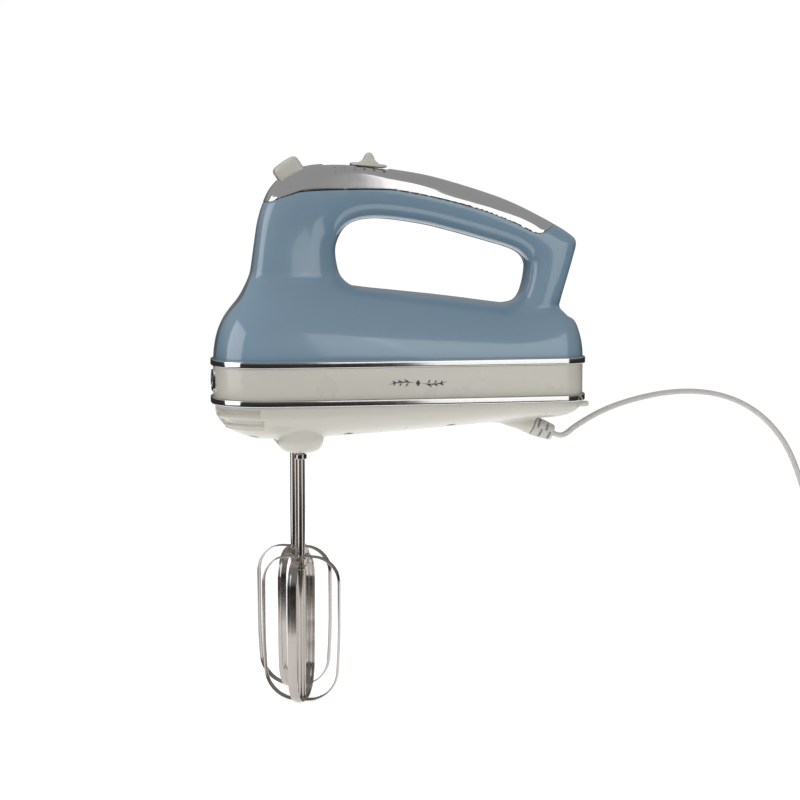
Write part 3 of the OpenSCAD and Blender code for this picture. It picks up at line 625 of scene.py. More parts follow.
DRAW_NOSE, DRAW_SIDE, DRAW_TAIL = 30, 22, 8
DRAW_POWER = 2.1


def back_z(x):
    return -46 - 0.115 * (x + 50)


def grip_half_w(x, z):
    foot = smoothstep(-z, 8, 52) * smoothstep(-x, 40, 84)
    rear = smoothstep(x, 15, 70)
    return GRIP_HALF_W + 2.4 * foot - 1.5 * rear


def grip_field(p):
    """The loop of the handle: a superelliptic section between the outer line and the finger opening."""
    x, y, z = p.T
    from_outside = -GRIP_MAP(x, z)
    from_hole = HOLE_MAP(x, z)
    deep = np.maximum(from_outside + from_hole, 4)
    across = np.abs(2 * (from_outside / deep) - 1)
    half_w = grip_half_w(x, z)
    level = (across ** SECTION_POWER + (np.abs(y) / half_w) ** SECTION_POWER + 1e-9) ** (1 / SECTION_POWER)
    field = (level - 1) * np.minimum(half_w, deep / 2)
    under_hole = smoothstep(-z, 46, 54) * smoothstep(x, -52, -36) * smoothstep(-x, -46, -34)
    return field + 24 * under_hole


def base_field(p):
    """The body under the handle: the plan outline drawing in toward a flat back."""
    x, y, z = p.T
    top = back_z(x)
    up = np.clip((z - RIM_Z) / (top - RIM_Z), 0, 1.4)
    amount = DRAW_SIDE + (DRAW_NOSE - DRAW_SIDE) * smoothstep(-x, 72, 118)
    amount = amount - (DRAW_SIDE - DRAW_TAIL) * smoothstep(x, 40, 86)
    side = PLAN_MAP(x, y) + amount * up ** DRAW_POWER
    return smooth_max(side, z - top, 9)


def upper_field(p):
    x, _, z = p.T
    blend = 8 - 4.5 * smoothstep(x, 10, 66)
    body = smooth_min(base_field(p), grip_field(p), blend)
    body = smooth_max(body, SILHOUETTE_MAP(x, z), 0.8)
    return smooth_max(body, -HOLE_MAP(x, z), 1.2)


COVER_TILT = math.radians(12)
RECESS_X = (-63.2, -23.9)
RECESS_HALF_W = 10.5
RECESS_DEPTH = 0.7


def cover_field(p):
    """The housing's surface with the cover's flanks leaning in from its lower edge, and the recess."""
    x, y, z = p.T
    above = -COVER_MAP(x, z)
    lean = (np.abs(y) - grip_half_w(x, z)) * math.cos(COVER_TILT) + above * math.sin(COVER_TILT)
    body = smooth_max(upper_field(p), lean, 0.4)
    along = smoothstep(x, RECESS_X[0], RECESS_X[0] + 1.2) * smoothstep(-x, -RECESS_X[1], 1.2 - RECESS_X[1])
    return body + RECESS_DEPTH * along * smoothstep(-np.abs(y), -RECESS_HALF_W - 1, -RECESS_HALF_W + 0.6)


def make_upper_housing():
    step = 1.25
    low = (NOSE_X - 2, -BASE_HALF_W - 2 + 0.37, RIM_Z - 2.5)
    high = (TAIL_X + 2, BASE_HALF_W + 2, 26)
    points, faces = surface_net(upper_field, low, high, step)
    points, faces = clipped(points, faces, lambda p: RIM_Z + 0.04 - p[:, 2], upper_field)

    def on_cover(p):
        return COVER_MAP(p[:, 0], p[:, 2])

    body_points, body_faces = clipped(points, faces, lambda p: 0.12 - on_cover(p), upper_field)
    for side, name in ((1, "housing_right"), (-1, "housing_left")):
        half = clipped(body_points, body_faces, lambda p: 0.03 - side * p[:, 1], upper_field)
        shell = thickened(*half, WALL, upper_field)
        make_piece(name + "_shell", *shell, "blue_gloss", "root", [name], sharp=40)
    points, faces = surface_net(cover_field, (-104, -20.3, -22), (76, 20.5, 26), step * 0.8)
    for keep in (lambda p: on_cover(p) + 0.1, lambda p: -well_field(p), lambda p: -slot_field(p)):
        points, faces = clipped(points, faces, keep, cover_field)
    shell = thickened(points, faces, WALL - 0.6, cover_field)
    make_piece("cover_shell", *shell, "chrome", "root", ["handle_cover"], sharp=40)


# ------------------------------------------------------------------ button and slider

PRESS_TILT = math.radians(34)
BUTTON_TOP = np.array([-85.2, 0, 23.6])
BUTTON_HALF = 8
SLIDE_TILT = math.radians(4.4)
KNOB_AT = np.array([-36, 0, 19.5])
KNOB_TRAVEL = 16


def tilted(angle, origin):
    """Functions into and out of a frame turned about Y and moved to origin."""
    c, s = math.cos(angle), math.sin(angle)
    turn = np.array([[c, 0, s], [0, 1, 0], [-s, 0, c]])
    return (lambda p: (p - origin) @ turn), (lambda q: q @ turn.T + origin)


INTO_PRESS, FROM_PRESS = tilted(-PRESS_TILT, BUTTON_TOP)
INTO_SLIDE, FROM_SLIDE = tilted(SLIDE_TILT, KNOB_AT)


def rounded_rectangle(q, half, radius):
    """Signed distance to a rectangle with rounded corners, in the first two coordinates."""
    edge = np.abs(q[:, :2]) - (half - radius)
    return np.linalg.norm(np.maximum(edge, 0), axis=1) + np.minimum(edge.max(1), 0) - radius


def well_field(p):
    """Negative inside the well round the eject button."""
    return np.maximum(rounded_rectangle(INTO_PRESS(p), BUTTON_HALF + 0.45, 3.4), -4 - p[:, 2])


def slot_field(p):
    """Negative inside the slot for the slider's neck."""
    q = INTO_SLIDE(p)
    along = np.abs(q[:, 0] + KNOB_TRAVEL / 2) - (KNOB_TRAVEL / 2 + 4.5)
    return np.maximum(np.maximum(along, np.abs(q[:, 1]) - 3.5), -12 - q[:, 2])


def button_field(q):
    """Cushion-shaped cap, slightly tapered and crowned, in the button's own frame."""
    taper = 0.02 * (-q[:, 2])
    side = rounded_rectangle(q, BUTTON_HALF - 0.25, 3.2) - taper * 0.5
    crown = 0.9 - 0.011 * (q[:, 0] ** 2 + q[:, 1] ** 2)
    return smooth_max(side, q[:, 2] - crown + 0.9, 2.6)


def make_button():
    points, faces = surface_net(button_field, (-10, -10, -15.3), (10, 10, 2), 0.55)
    points, faces = clipped(points, faces, lambda q: -14 - q[:, 2], button_field)
    points, faces = thickened(points, faces, 1.6, button_field, 0.1)
    stem = turned([(4, -25), (4, -24), (4, -2), (4, -1.8)], 32)
    foot = turned([(1, -27.9), (2.4, -27.2), (3.5, -26), (4, -24.6)], 32)
    points, faces = joined((points, faces), stem, foot)
    make_piece("eject_button_cap", FROM_PRESS(points), faces, "cream_gloss", "button", ["eject_button"],
               sharp=50)


def knob_field(q):
    """Oval pad with a thumb fin that flows into it, in the slider's own frame."""
    pad = rounded_rectangle(q, np.array([10.5, 7.5]), 5)
    crown = 0.012 * q[:, 1] ** 2 + 0.004 * q[:, 0] ** 2
    pad = smooth_max(pad, np.abs(q[:, 2] - 2.9 + crown) - 0.8, 1.0)
    up = np.clip(q[:, 2] - 4, 0, 7)
    thick = 2.0 + 3.0 * np.exp(-up / 1.5)
    fin = smooth_max(np.abs(q[:, 0]) - thick, np.abs(q[:, 1]) - 5.6 + 0.12 * up, 1.4)
    fin = smooth_max(fin, q[:, 2] - 9.7 + 0.05 * q[:, 1] ** 2, 2.2)
    fin = np.maximum(fin, 3 - q[:, 2])
    return smooth_min(pad, fin, 1.2)


def make_knob():
    points, faces = surface_net(knob_field, (-12, -9, 1.5), (12, 9, 12), 0.42)
    neck = loft([np.array([(3 * cx, 2.5 * cy, z) for cx, cy in ((-1, -1), (1, -1), (1, 1), (-1, 1))])
                 for z in (-14, 3.2)])
    points, faces = joined((points, faces), neck)
    make_piece("speed_knob_cap", FROM_SLIDE(points), faces, "cream_gloss", "slider", ["speed_knob"], sharp=50)


# ------------------------------------------------------------------ lower housing and cord boot

BOOT_TILT = math.radians(21)
BOOT_ROOT = np.array([54, 0, -126.8])
BOOT_LEN = 21
BOOT_STEP = 8.2
INTO_BOOT, FROM_BOOT = tilted(BOOT_TILT, BOOT_ROOT)
BELLY_NOSE, BELLY_FALL = 20, 11.5
DOME_FLOOR_Z = -141.2
VENT_ROWS = ((3.6, -101.2), (9.6, -99.2))


def belly(x):
    u = np.clip((x + 85) / (TAIL_X + 85), 0, 1)
    return BELLY_NOSE - BELLY_FALL * u ** 1.35


def dome_field(p):
    """One smooth dome that holds both spindles: a stadium in plan, rounded below."""
    x, y, z = p.T
    across = np.hypot(x - BEATER_X, np.maximum(np.abs(y) - BEATER_Y, 0))
    up = np.clip(z - DOME_FLOOR_Z, -1, 20)
    radius = 13.4 - 5.2 * np.exp(-up / 3.1)
    return smooth_max(across - radius, DOME_FLOOR_Z - z, 3.2)


def spout_field(p):
    q = INTO_BOOT(p)
    radius = 6.5 + 0.12 * (q[:, 0] - 7)
    flat = 1 - 0.12 * smoothstep(q[:, 0], -8, 4)
    side = np.hypot(q[:, 1], (q[:, 2] + 0.1 * np.clip(-q[:, 0], 0, 30)) / flat) - np.clip(radius, 4.4, 7)
    return smooth_max(smooth_max(side, q[:, 0] - 7.6, 1.2), -16 - q[:, 0], 1)


def lower_field(p):
    x, y, z = p.T
    depth = belly(x)
    down = np.clip((LOWER_RIM_Z - z) / depth, -0.2, 1.3)
    side = PLAN_MAP(x, y) + 1 + (20 - 12 * smoothstep(x, 40, 84)) * np.clip(down, 0, 2) ** 3
    body = smooth_max(side, LOWER_RIM_Z - depth - z, 5)
    body = smooth_min(body, dome_field(p), 2.6)
    body = smooth_min(body, spout_field(p), 3.5)
    for below, end_x in VENT_ROWS:
        row = smoothstep(2.1 - np.abs(z - LOWER_RIM_Z + below), 0, 0.9)
        body = body + 2.4 * row * smoothstep(end_x - x, 0, 0.9) * smoothstep(np.abs(y), 2, 2.8)
    return body


SCREW_SPOTS = ((-104, 17), (-50, 19), (10, 16), (74, 11))
SCREW_WELL_R = 2.9


def bores_field(p):
    """Negative in the spindle bores, the screw wells and the cord's way through the spout."""
    x, y, z = p.T
    spindle = np.hypot(x - BEATER_X, np.abs(y) - BEATER_Y) - 7.0
    wells = np.full(len(p), 99.0)
    for sx, sy in SCREW_SPOTS:
        wells = np.minimum(wells, np.hypot(x - sx, np.abs(y) - sy) - SCREW_WELL_R)
    wells = np.maximum(wells, z - LOWER_RIM_Z + 4)
    q = INTO_BOOT(p)
    passage = np.maximum(np.hypot(q[:, 1], q[:, 2]) - 4.7, 2 - q[:, 0])
    feet = np.maximum(np.hypot(np.abs(y) - 8, z - LOWER_RIM_Z + 3) - 1.9, 80 - x)
    return np.minimum(np.minimum(spindle, wells), np.minimum(passage, feet))


def make_lower_housing():
    step = 1.0
    low = (NOSE_X - 2, -BASE_HALF_W - 2 + 0.31, DOME_FLOOR_Z - 2)
    high = (TAIL_X + 2, BASE_HALF_W + 2, LOWER_RIM_Z + 2.5)
    points, faces = surface_net(lower_field, low, high, step)
    points, faces = clipped(points, faces, lambda p: p[:, 2] - LOWER_RIM_Z + 0.05, lower_field)
    points, faces = clipped(points, faces, lambda p: -bores_field(p), lower_field)
    shell = thickened(points, faces, WALL - 0.2, lower_field)
    make_piece("lower_housing_shell", *shell, "cream_gloss", "root", ["lower_housing"], sharp=45)


def circle_ring(x, radius, dent=None, count=48):
    """Ring in the boot's frame across its length at x; dent(angle) is how far it sinks."""
    out = []
    for a in circle_angles(count):
        r = radius - (dent(a) if dent else 0)
        out.append((x, r * math.cos(a), r * math.sin(a)))
    return np.array(out)


def make_boot():
    """Strain relief: a plug in the spout, then a tapering tail with staggered slots."""
    seat = ((-12.8, 4.0), (-12.4, 4.4), (BOOT_STEP - 0.3, 4.45), (BOOT_STEP, 5.3))
    rings = [circle_ring(x, r) for x, r in seat]
    start, pitch, half = BOOT_STEP + 2.3, 2.7, 0.62
    x = BOOT_STEP + 0.35
    while x < BOOT_LEN - 0.6:
        taper = 5.75 - 1.15 * ((x - BOOT_STEP) / (BOOT_LEN - BOOT_STEP)) ** 1.5
        row = round((x - start) / pitch)
        inside = abs(x - start - row * pitch) < half and 0 <= row < 4

        def dent(a, row=row, inside=inside):
            if not inside:
                return 0.0
            upper = math.sin(a) > 0.02 if row % 2 == 0 else math.sin(a) < -0.02
            return 1.9 if upper and abs(math.cos(a)) > 0.45 else 0.0

        rings.append(circle_ring(x, taper, dent=dent))
        x += 0.22
    rings += [circle_ring(BOOT_LEN - 0.5, 4.6), circle_ring(BOOT_LEN - 0.15, 4.3), circle_ring(BOOT_LEN, 3.6)]
    points, faces = loft(rings)
    make_piece("cord_boot_moulding", FROM_BOOT(points), faces, "cord_pvc", "root", ["cord_boot"], sharp=50)


def make_heel_feet():
    shells = []
    for side in (-1, 1):
        rings = []
        for x, r in ((84.6, 1.75), (91.8, 1.75), (92.8, 1.6), (93.3, 1.2), (93.5, 0.6)):
            rings.append(np.array([(x, side * 8 + r * math.cos(a), LOWER_RIM_Z - 3 + r * math.sin(a))
                                   for a in circle_angles(32)]))
        shells.append(loft(rings))
    make_piece("heel_studs", *joined(*shells), "cream_gloss", "root", ["heel_feet"], sharp=50)


# ------------------------------------------------------------------ beaters


def cage_path():
    """Centre line of one strip loop in its own plane, from the hub out, down and back in."""
    r = 22.2
    top, bottom = CAGE_TOP_Z - 1.0, FLOOR_Z + 0.5
    side = []
    for a in np.linspace(0, 90, 13):
        a = math.radians(a)
        side.append((r - 15 + 15 * math.sin(a), top - 15 + 15 * math.cos(a)))
    side.append((r - 0.05, (top + bottom) / 2))
    side.append((r - 0.35, bottom + 30))
    for a in np.linspace(90, 180, 15):
        a = math.radians(a)
        side.append((r - 19 + 18 * math.sin(a), bottom + 18 + 18 * math.cos(a)))
    side = np.array(side)
    loop = np.vstack([side, side[::-1] * (-1, 1)])
    return resampled(loop, 1.6, closed=True)


# Half of a strip's section: (across, outward) from the middle of its outer face to its edge
STRIP_HALF = [(0, 0.62), (0.7, 0.58), (1.05, 0.42), (1.35, 0.4), (2.3, 0.4), (2.58, 0.3), (2.7, 0.0)]


def strip_section():
    """Strip with a bead pressed along its middle: raised outside, hollow inside."""
    outer = STRIP_HALF
    inner = [(across, out - 0.85 if across < 1.3 else -0.4) for across, out in STRIP_HALF[:-1]]
    right = outer + [(2.58, -0.3)] + [(a, o) for a, o in reversed(inner) if a < 2.5]
    left = [(-a, o) for a, o in reversed(right) if a > 0]
    return right + left


def strip_loop(phase):
    """One pressed strip bent round its loop, turned by phase about the beater's axis."""
    path = cage_path()
    out = -outward(path)
    c, s = math.cos(phase), math.sin(phase)
    rings = []
    for (u, z), (nu, nz) in zip(path, out):
        ring = []
        for across, proud in strip_section():
            radial = u + nu * proud
            ring.append((radial * c - across * s, radial * s + across * c, z + nz * proud))
        rings.append(np.array(ring))
    return loft(rings, closed=True)


def turned(profile, count=40):
    """Closed solid of revolution about Z through (radius, height) points."""
    angles = circle_angles(count)
    return loft([np.array([(r * math.cos(a), r * math.sin(a), z) for a in angles]) for r, z in profile])


def sleeve(outer, bore, low, high, ease=0.25, count=40):
    """Tube with eased ends."""
    section = [(bore, low), (outer - ease, low), (outer, low + ease),
               (outer, high - ease), (outer - ease, high), (bore, high)]
    return loft([np.array([(r * math.cos(a), r * math.sin(a), z) for r, z in section])
                 for a in circle_angles(count)], closed=True)


def make_beater(side, phase):
    y = BEATER_Y if side == "right" else -BEATER_Y
    at = np.array([BEATER_X, y, 0])
    body = "beater_" + side
    stem_low, stem_high = (corner[2] for corner in box_mm("beater_stem_" + side))
    points, faces = turned([(1.4, stem_low), (STEM_R - 0.3, stem_low + 0.4), (STEM_R, stem_low + 1.2),
                            (STEM_R, stem_high - 1), (STEM_R - 0.5, stem_high - 0.2),
                            (STEM_R - 1.2, stem_high)])
    make_piece("beater_rod_" + side, points + at, faces, "steel", body, ["beater_stem_" + side])
    loops = [strip_loop(phase), strip_loop(phase + math.pi / 2)]
    hub = sleeve(3.6, STEM_R + 0.03, CAGE_TOP_Z - 2.6, CAGE_TOP_Z - 0.4)
    collar = sleeve(2.95, STEM_R + 0.03, CAGE_TOP_Z - 8.5, CAGE_TOP_Z - 6.2)
    foot = turned([(2.6, FLOOR_Z), (3.5, FLOOR_Z + 0.3), (3.7, FLOOR_Z + 1.1),
                   (3.2, FLOOR_Z + 1.9), (1.9, FLOOR_Z + 2.4)])
    points, faces = joined(*loops, hub, collar, foot)
    make_piece("beater_strips_" + side, points + at, faces, "steel", body, ["beater_cage_" + side])
    low, high = (corner[2] for corner in box_mm("beater_collar_" + side))
    points, faces = sleeve(3.4, STEM_R + 0.03, low, high, 0.4)
    make_piece("beater_ring_" + side, points + at, faces, "steel", body, ["beater_collar_" + side])


# ------------------------------------------------------------------ mains lead

# The lead's way in metres, from the boot, over to the surface and into the coil
LEAD_ROUTE = [
    (0.080, 0, -0.136), (0.088, 0, -0.1306), (0.099, 0, -0.1242), (0.111, 0, -0.119), (0.126, 0, -0.1146),
    (0.143, 0, -0.1116), (0.160, 0, -0.111), (0.177, 0, -0.1135), (0.193, -0.001, -0.120),
    (0.207, -0.003, -0.131), (0.218, -0.006, -0.147), (0.226, -0.010, -0.170), (0.232, -0.014, -0.196),
    (0.236, -0.018, -0.222), (0.240, -0.022, -0.246), (0.245, -0.025, -0.265), (0.253, -0.027, -0.277),
    (0.262, -0.028, -0.2816), (0.268, -0.028, -0.2821)
]
TAIL_ROUTE = [
    (0.274, -0.029, -0.277), (0.285, -0.033, -0.278), (0.296, -0.033, -0.2776), (0.306, -0.0285, -0.2775),
    (0.3125, -0.021, -0.2775), (0.315, -0.011, -0.2775)
]
LEAD_W, LEAD_T = 5.2, 3.2
COIL_TURNS = 6
COIL_CENTER = np.array([268, 0])
COIL_R = 28
POINTS_PER_TURN = 40
PLUG_NECK = np.array([315, -11, -277.5])


def coil_points():
    """Turns lying beside and on each other: out, up and in again, a lead's width apart."""
    first = np.array(LEAD_ROUTE[-1]) / MM
    last = np.array(TAIL_ROUTE[0]) / MM
    low = FLOOR_Z + 0.8 + LEAD_T / 2
    seats = [(-1, 0), (1, 0), (1, 1), (-1, 1), (-1, 2), (1, 2), (1, 3)]
    out = []
    total = COIL_TURNS * POINTS_PER_TURN
    for k in range(1, total):
        turn = k / POINTS_PER_TURN
        seat, part = int(turn), turn - int(turn)
        shift = smoothstep(part, 0.72, 0.98)
        a, b = np.array(seats[seat]), np.array(seats[min(seat + 1, len(seats) - 1)])
        side, level = a + (b - a) * shift
        radius, z = COIL_R + side * LEAD_W / 2, low + level * LEAD_T
        lead_in = 1 - smoothstep(turn, 0, 0.12)
        lead_out = smoothstep(turn, COIL_TURNS - 0.3, COIL_TURNS)
        for share, spot in ((lead_in, first), (lead_out, last)):
            radius = radius * (1 - share) + math.hypot(*(spot[:2] - COIL_CENTER)) * share
            z = z * (1 - share) + spot[2] * share
        angle = math.radians(-90) + 2 * math.pi * turn
        x, y = COIL_CENTER + radius * np.array([math.cos(angle), math.sin(angle)])
        out.append((x, y, z))
    return out


def lead_line():
    exit_point = BOOT_ROOT + BOOT_LEN * np.array([math.cos(BOOT_TILT), 0, -math.sin(BOOT_TILT)])
    way = [tuple(exit_point)] + [tuple(np.array(p) / MM) for p in LEAD_ROUTE]
    way += coil_points() + [tuple(np.array(p) / MM) for p in TAIL_ROUTE]
    return resampled(smooth_curve(way, 4, False), 1.9)


def lead_section():
    """Twin lead: two round cores side by side with a shallow groove between."""
    return [(across, up * (1 - 0.16 * math.exp(-(across / 0.7) ** 2)))
            for across, up in stadium(LEAD_W / 2, LEAD_T / 2, 20, 2.3)]


def make_lead():
    line = lead_line()
    along = np.gradient(line, axis=0)
    along /= np.linalg.norm(along, axis=1)[:, None]
    side = np.array([0.0, 1.0, 0.0])
    rings = []
    for point, ahead in zip(line, along):
        side = side - ahead * (side @ ahead)
        side /= np.linalg.norm(side)
        up = np.cross(ahead, side)
        rings.append(np.array([point + side * a + up * u for a, u in lead_section()]))
    points, faces = loft(rings)
    lead = make_piece("mains_lead", points, faces, "cord_pvc", "root", ["cord", "cord_coil", "cord_tail"])
    plug = make_plug()
    tie = make_tie()


def stadium(half_w, half_h, count=48, power=3.0):
    """Closed superelliptic ring of (across, up) points, squarer as power grows."""
    out = []
    for a in circle_angles(count):
        c, s = superellipse(a, power)
        out.append((math.copysign(c, math.cos(a)) * half_w, math.copysign(s, math.sin(a)) * half_h))
    return out


def make_plug():
    """Flat two-pin plug: a neck that swells into the grip, with finger ribs and a face plate."""
    stations = [(0, 3.6, 3.3), (0.5, 4.2, 3.7), (3, 4.3, 3.8), (8, 4.6, 4.1), (11, 6.2, 4.8), (14, 9.2, 5.6),
                (17.5, 11.4, 6.2), (21, 12.2, 6.5), (25, 12.4, 6.7), (33.6, 12.5, 6.9), (34, 12.1, 6.5),
                (34.4, 12.1, 6.5), (34.8, 12.4, 6.8), (35.5, 12.3, 6.7), (36, 11.7, 6.1)]
    rings = []
    for y, half_w, half_h in stations:
        ring = [(PLUG_NECK[0] + u, PLUG_NECK[1] + y, PLUG_NECK[2] + v) for u, v in stadium(half_w, half_h)]
        rings.append(np.array(ring))
    shells = [loft(rings)]
    for k in range(3):
        for face in (-1, 1):
            bar = [(PLUG_NECK[0] + u, PLUG_NECK[1] + 23 + 3 * k + v) for u, v in stadium(6.5, 0.7, 24, 4)]
            z0, z1 = sorted((PLUG_NECK[2] + face * 5.6, PLUG_NECK[2] + face * 6.88))
            shells.append(loft([np.array([(x, y, z) for x, y in bar]) for z in (z0, z1)]))
    return make_piece("plug_moulding", *joined(*shells), "cord_pvc", "root", ["plug_body"], sharp=40)


def make_tie():
    """Flat tie round all the turns, a closed band."""
    low, high = box_mm("cord_tie")
    y_mid, z_mid = (low[1] + high[1]) / 2, (low[2] + high[2]) / 2
    half_y, half_z = (high[1] - low[1]) / 2, (high[2] - low[2]) / 2
    x0 = low[0] + 0.8
    rings = []
    for u, v in stadium(half_y - 0.35, half_z - 0.35, 56, 5):
        out = np.array([u / half_y, v / half_z])
        out /= np.linalg.norm(out)
        ring = []
        for x, proud in ((x0, -0.3), (x0 + 5.4, -0.3), (x0 + 5.5, 0),
                         (x0 + 5.4, 0.3), (x0, 0.3), (x0 - 0.1, 0)):
            ring.append((x, y_mid + u + out[0] * proud, z_mid + v + out[1] * proud))
        rings.append(np.array(ring))
    return make_piece("cord_tie_band", *loft(rings, closed=True), "black_plastic", "root", ["cord_tie"],
                      sharp=40)


# ------------------------------------------------------------------ badge, ornament and marks


def wall_point(u, z, proud):
    """Point on the nose: u along the outline from its foremost point, standing proud of it."""
    out = outward(PLAN)
    nose = int(np.argmin(PLAN[:, 0] + np.abs(PLAN[:, 1]) * 0.001))
    step = np.linalg.norm(PLAN[1] - PLAN[0])
    at = nose + u / step
    i = int(math.floor(at))
    t = at - i
    a, b = PLAN[i % len(PLAN)], PLAN[(i + 1) % len(PLAN)]
    n = out[i % len(PLAN)] * (1 - t) + out[(i + 1) % len(PLAN)] * t
    x, y = a + (b - a) * t + n * proud
    return x, y, z


def nose_plate(outline, base, top, ease=0.3):
    """Pad on the nose with a rounded edge: outline points are (along, up) from the badge's middle."""
    outline = np.array(outline)
    middle = (BAND_LO[2] + BAND_HI[2]) / 2
    rings = []
    for shrink, proud in ((0, base), (0, top - ease), (ease * 0.3, top - ease * 0.3), (ease, top)):
        ring = outline - outward(outline) * shrink
        rings.append(np.array([wall_point(u, middle + v, proud) for u, v in ring]))
    inner = [outline * f for f in (0.8, 0.55, 0.25)]
    rings += [np.array([wall_point(u, middle + v, top) for u, v in ring]) for ring in inner]
    return loft(rings)


def rounded_outline(half_w, half_h, radius, steps=5):
    return eased_rectangle(-half_w, half_w, -half_h, half_h, radius, radius, steps)


def make_badge():
    """Chrome plate with a dark field and a plain relief of nested lozenges."""
    plate = nose_plate(rounded_outline(11, 6, 3), -0.3, 1.1)
    make_piece("nose_badge", *plate, "chrome", "root", ["badge"], sharp=40)
    field = nose_plate(rounded_outline(9.9, 4.9, 2.2), 0.9, 1.16, 0.05)
    make_piece("nose_badge_field", *field, "black_plastic", "root")
    shells = []
    for k in range(-1, 2):
        lozenge = [(k * 5.2 + 2.2 * math.cos(a), 3.2 * math.sin(a)) for a in circle_angles(4)]
        shells.append(nose_plate(lozenge, 1.1, 1.38, 0.15))
    shells.append(nose_plate(rounded_outline(9.2, 0.28, 0.2, 2), 1.1, 1.3, 0.08))
    make_piece("nose_badge_relief", *joined(*shells), "chrome", "root", sharp=30)


def side_wall(x, z, side, proud):
    """Point on the band's long side at x, standing proud of it."""
    half = side_half_w(x)
    return x, side * (half + proud), z


def inlay(strokes, side, proud=0.12, sunk=-0.3):
    """Thin raised shapes on a long side: each stroke is a closed list of (x, z) points."""
    shells = []
    for stroke in strokes:
        rings = [np.array([side_wall(x, z, side, d) for x, z in stroke]) for d in (sunk, proud)]
        if side > 0:
            rings.reverse()
        shells.append(loft(rings))
    return joined(*shells)


def leaf(x0, z0, x1, z1, swell, bend, steps=14):
    """Closed pointed stroke from one end to the other, swelling in the middle and bowed."""
    start, end = np.array([x0, z0]), np.array([x1, z1])
    along = (end - start) / np.linalg.norm(end - start)
    across = np.array([-along[1], along[0]])
    upper, lower = [], []
    for k in range(steps + 1):
        t = k / steps
        middle = start + (end - start) * t + across * bend * math.sin(math.pi * t)
        half = swell * math.sin(math.pi * t) + 0.03
        upper.append(tuple(middle + across * half))
        lower.append(tuple(middle - across * half))
    return upper + lower[::-1]


ORNAMENT_X, ORNAMENT_Z = -12.5, -101.3


def make_ornament():
    """A plain spray of leaves on each side of the band."""
    x, z = ORNAMENT_X, ORNAMENT_Z
    strokes = [leaf(x - 17, z - 0.6, x - 2.2, z + 0.2, 0.28, 0.9),
               leaf(x + 2.2, z - 0.2, x + 17, z + 0.6, 0.28, -0.9)]
    for k, reach in enumerate((4.5, 8.5, 12.2)):
        size = 2.5 - 0.42 * k
        strokes.append(leaf(x - reach, z + 0.35, x - reach - size - 1, z + size, 0.42, 0.3))
        strokes.append(leaf(x + reach, z - 0.35, x + reach + size + 1, z - size, 0.42, 0.3))
        strokes.append(leaf(x - reach - 0.9, z + 0.1, x - reach - size, z - size * 0.8, 0.36, -0.3))
        strokes.append(leaf(x + reach + 0.9, z - 0.1, x + reach + size, z + size * 0.8, 0.36, -0.3))
    strokes.append([(x + 1.35 * math.cos(a), z + 1.9 * math.sin(a)) for a in circle_angles(4)])
    for side, name in ((-1, "left"), (1, "right")):
        make_piece("band_ornament_" + name, *inlay(strokes, side), "black_plastic", "root", sharp=30,
                   material=INK)


def cover_top(x, y):
    """Height of the cover's surface above (x, y)."""
    z = np.full_like(x, 30.0)
    for _ in range(60):
        value = cover_field(np.stack([x, y, z], 1))
        z = z - np.clip(value, -1.5, 1.5) * 0.7
    return z


MARK_Y = 12.9


def make_slider_marks():
    """Off dot and five rising strokes printed beside the slider on both sides."""
    shells = []
    for side in (-1, 1):
        for k in range(6):
            at = KNOB_AT[0] + 7.5 - k * (KNOB_TRAVEL + 12) / 5
            count, height = (10, 0.8) if k == 0 else (4, 0.5 + 0.22 * k)
            angles = circle_angles(count) + (0 if k == 0 else math.pi / 4)
            half_x = 0.8 if k == 0 else 0.75
            ring = np.array([(at + half_x * math.cos(a), side * MARK_Y + height * math.sin(a)) for a in angles])
            z = cover_top(ring[:, 0], ring[:, 1])
            low = np.column_stack([ring, z - 0.3])
            high = np.column_stack([ring, z + 0.05])
            shells.append(loft([low, high]))
    make_piece("slider_marks", *joined(*shells), "black_plastic", "root", sharp=30, material=INK)


# ------------------------------------------------------------------ floor and lights

STAGE_WHITE = (0.90, 0.90, 0.90)
FLOOR_GLOW = 0.6
FLOOR_R = 0.5
FLOOR_AT = (0.05, 0.22)
FLOOR_GAP = 0.0002
ROOM_LOW, ROOM_HIGH = 0.03, 0.33


def make_floor():
    """Pale round table top that the camera sees run into the white background."""
    x, y = FLOOR_AT
    points = [(x + FLOOR_R * math.cos(a), y + FLOOR_R * math.sin(a), FLOOR_Z * MM - FLOOR_GAP)
              for a in circle_angles(96)]
    mesh = bpy.data.meshes.new("floor")
    mesh.from_pydata(points, [], [tuple(range(len(points)))])
    finish = Finish("floor_paper", STAGE_WHITE, 0.8, Emission_Strength=FLOOR_GLOW)
    finish.set("Emission Color", (1, 1, 1, 1))
    finish.bump(finish.noise(1.2, 2), 0.01)
    mesh.materials.append(finish.material)
    floor = bpy.data.objects.new("floor", mesh)
    bpy.context.scene.collection.objects.link(floor)


LIGHT_AIM = Vector((-0.02, 0, -0.09))


def softbox(name, azimuths, elevations, distance, radiance, glossy=True):
    """Area light that spans these angles as the object sees them; azimuth 0 is in front, 90 at the tail."""
    data = bpy.data.lights.new(name, "AREA")
    data.shape = "RECTANGLE"
    spans = [math.radians(high - low) / 2 for low, high in (azimuths, elevations)]
    data.size, data.size_y = [2 * distance * math.tan(span) for span in spans]
    data.energy = radiance * math.pi * data.size * data.size_y
    lamp = bpy.data.objects.new(name, data)
    a, e = math.radians(sum(azimuths) / 2), math.radians(sum(elevations) / 2)
    away = Vector((math.sin(a) * math.cos(e), -math.cos(a) * math.cos(e), math.sin(e)))
    lamp.location = LIGHT_AIM + away * distance
    lamp.rotation_euler = away.to_track_quat("Z", "Y").to_euler()
    lamp.visible_glossy = glossy
    bpy.context.scene.collection.objects.link(lamp)


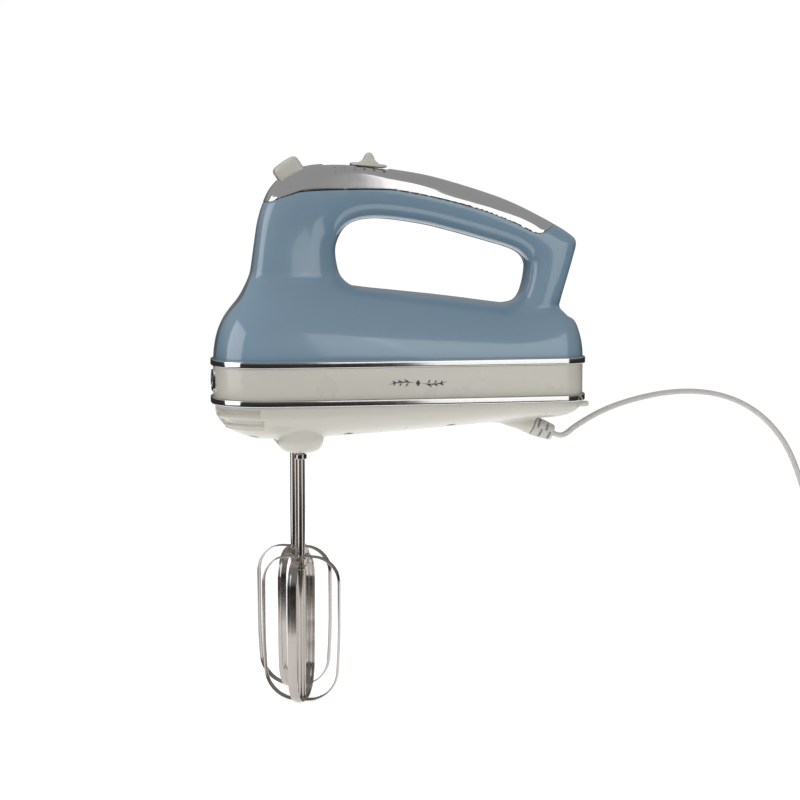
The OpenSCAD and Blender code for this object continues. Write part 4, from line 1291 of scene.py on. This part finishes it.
def make_world():
    """White to the camera; to the object a room that is dark low down and grey above."""
    world = bpy.data.worlds.new("studio")
    world.use_nodes = True
    nodes, links = world.node_tree.nodes, world.node_tree.links
    split = nodes.new("ShaderNodeSeparateXYZ")
    links.new(nodes.new(SPACE).outputs["Generated"], split.inputs["Vector"])
    rise = nodes.new("ShaderNodeMapRange")
    for socket, value in zip(RANGE_SOCKETS, (-0.02, 0.35, ROOM_LOW, ROOM_HIGH)):
        rise.inputs[socket].default_value = value
    links.new(split.outputs["Z"], rise.inputs["Value"])
    room = nodes["Background"]
    room.inputs["Color"].default_value = (0.98, 0.98, 1.0, 1)
    links.new(rise.outputs["Result"], room.inputs["Strength"])
    white = nodes.new("ShaderNodeBackground")
    white.inputs["Color"].default_value = (1, 1, 1, 1)
    white.inputs["Strength"].default_value = 1.02
    ray = nodes.new("ShaderNodeLightPath")
    mix = nodes.new("ShaderNodeMixShader")
    links.new(ray.outputs["Is Camera Ray"], mix.inputs["Fac"])
    links.new(room.outputs["Background"], mix.inputs[1])
    links.new(white.outputs["Background"], mix.inputs[2])
    links.new(mix.outputs["Shader"], nodes["World Output"].inputs["Surface"])
    bpy.context.scene.world = world


def make_lights():
    softbox("right_front", (17, 50), (-12, 32), 1.6, 1.15)
    softbox("front_edge", (9, 17), (3, 32), 1.6, 1.0)
    softbox("left", (-107, -62), (-10, 35), 1.5, 1.7)
    softbox("fill_front", (-45, 30), (-8, 40), 2.0, 1.0, glossy=False)
    softbox("top", (-165, -135), (52, 74), 1.5, 4, glossy=False)
    make_world()
    settings = bpy.context.scene.view_settings
    settings.view_transform = "Standard"
    settings.look = "None"


# ------------------------------------------------------------------ everything in place

LEFT_PHASE = math.radians(-20)
RIGHT_PHASE = math.radians(-45) - LEFT_PHASE

dress_cad_nodes()
make_lead()
make_boot()
make_trims_and_band()
make_upper_housing()
make_button()
make_knob()
make_lower_housing()
make_heel_feet()
make_beater("left", LEFT_PHASE)
make_beater("right", RIGHT_PHASE)
make_badge()
make_ornament()
make_slider_marks()
make_floor()
make_lights()
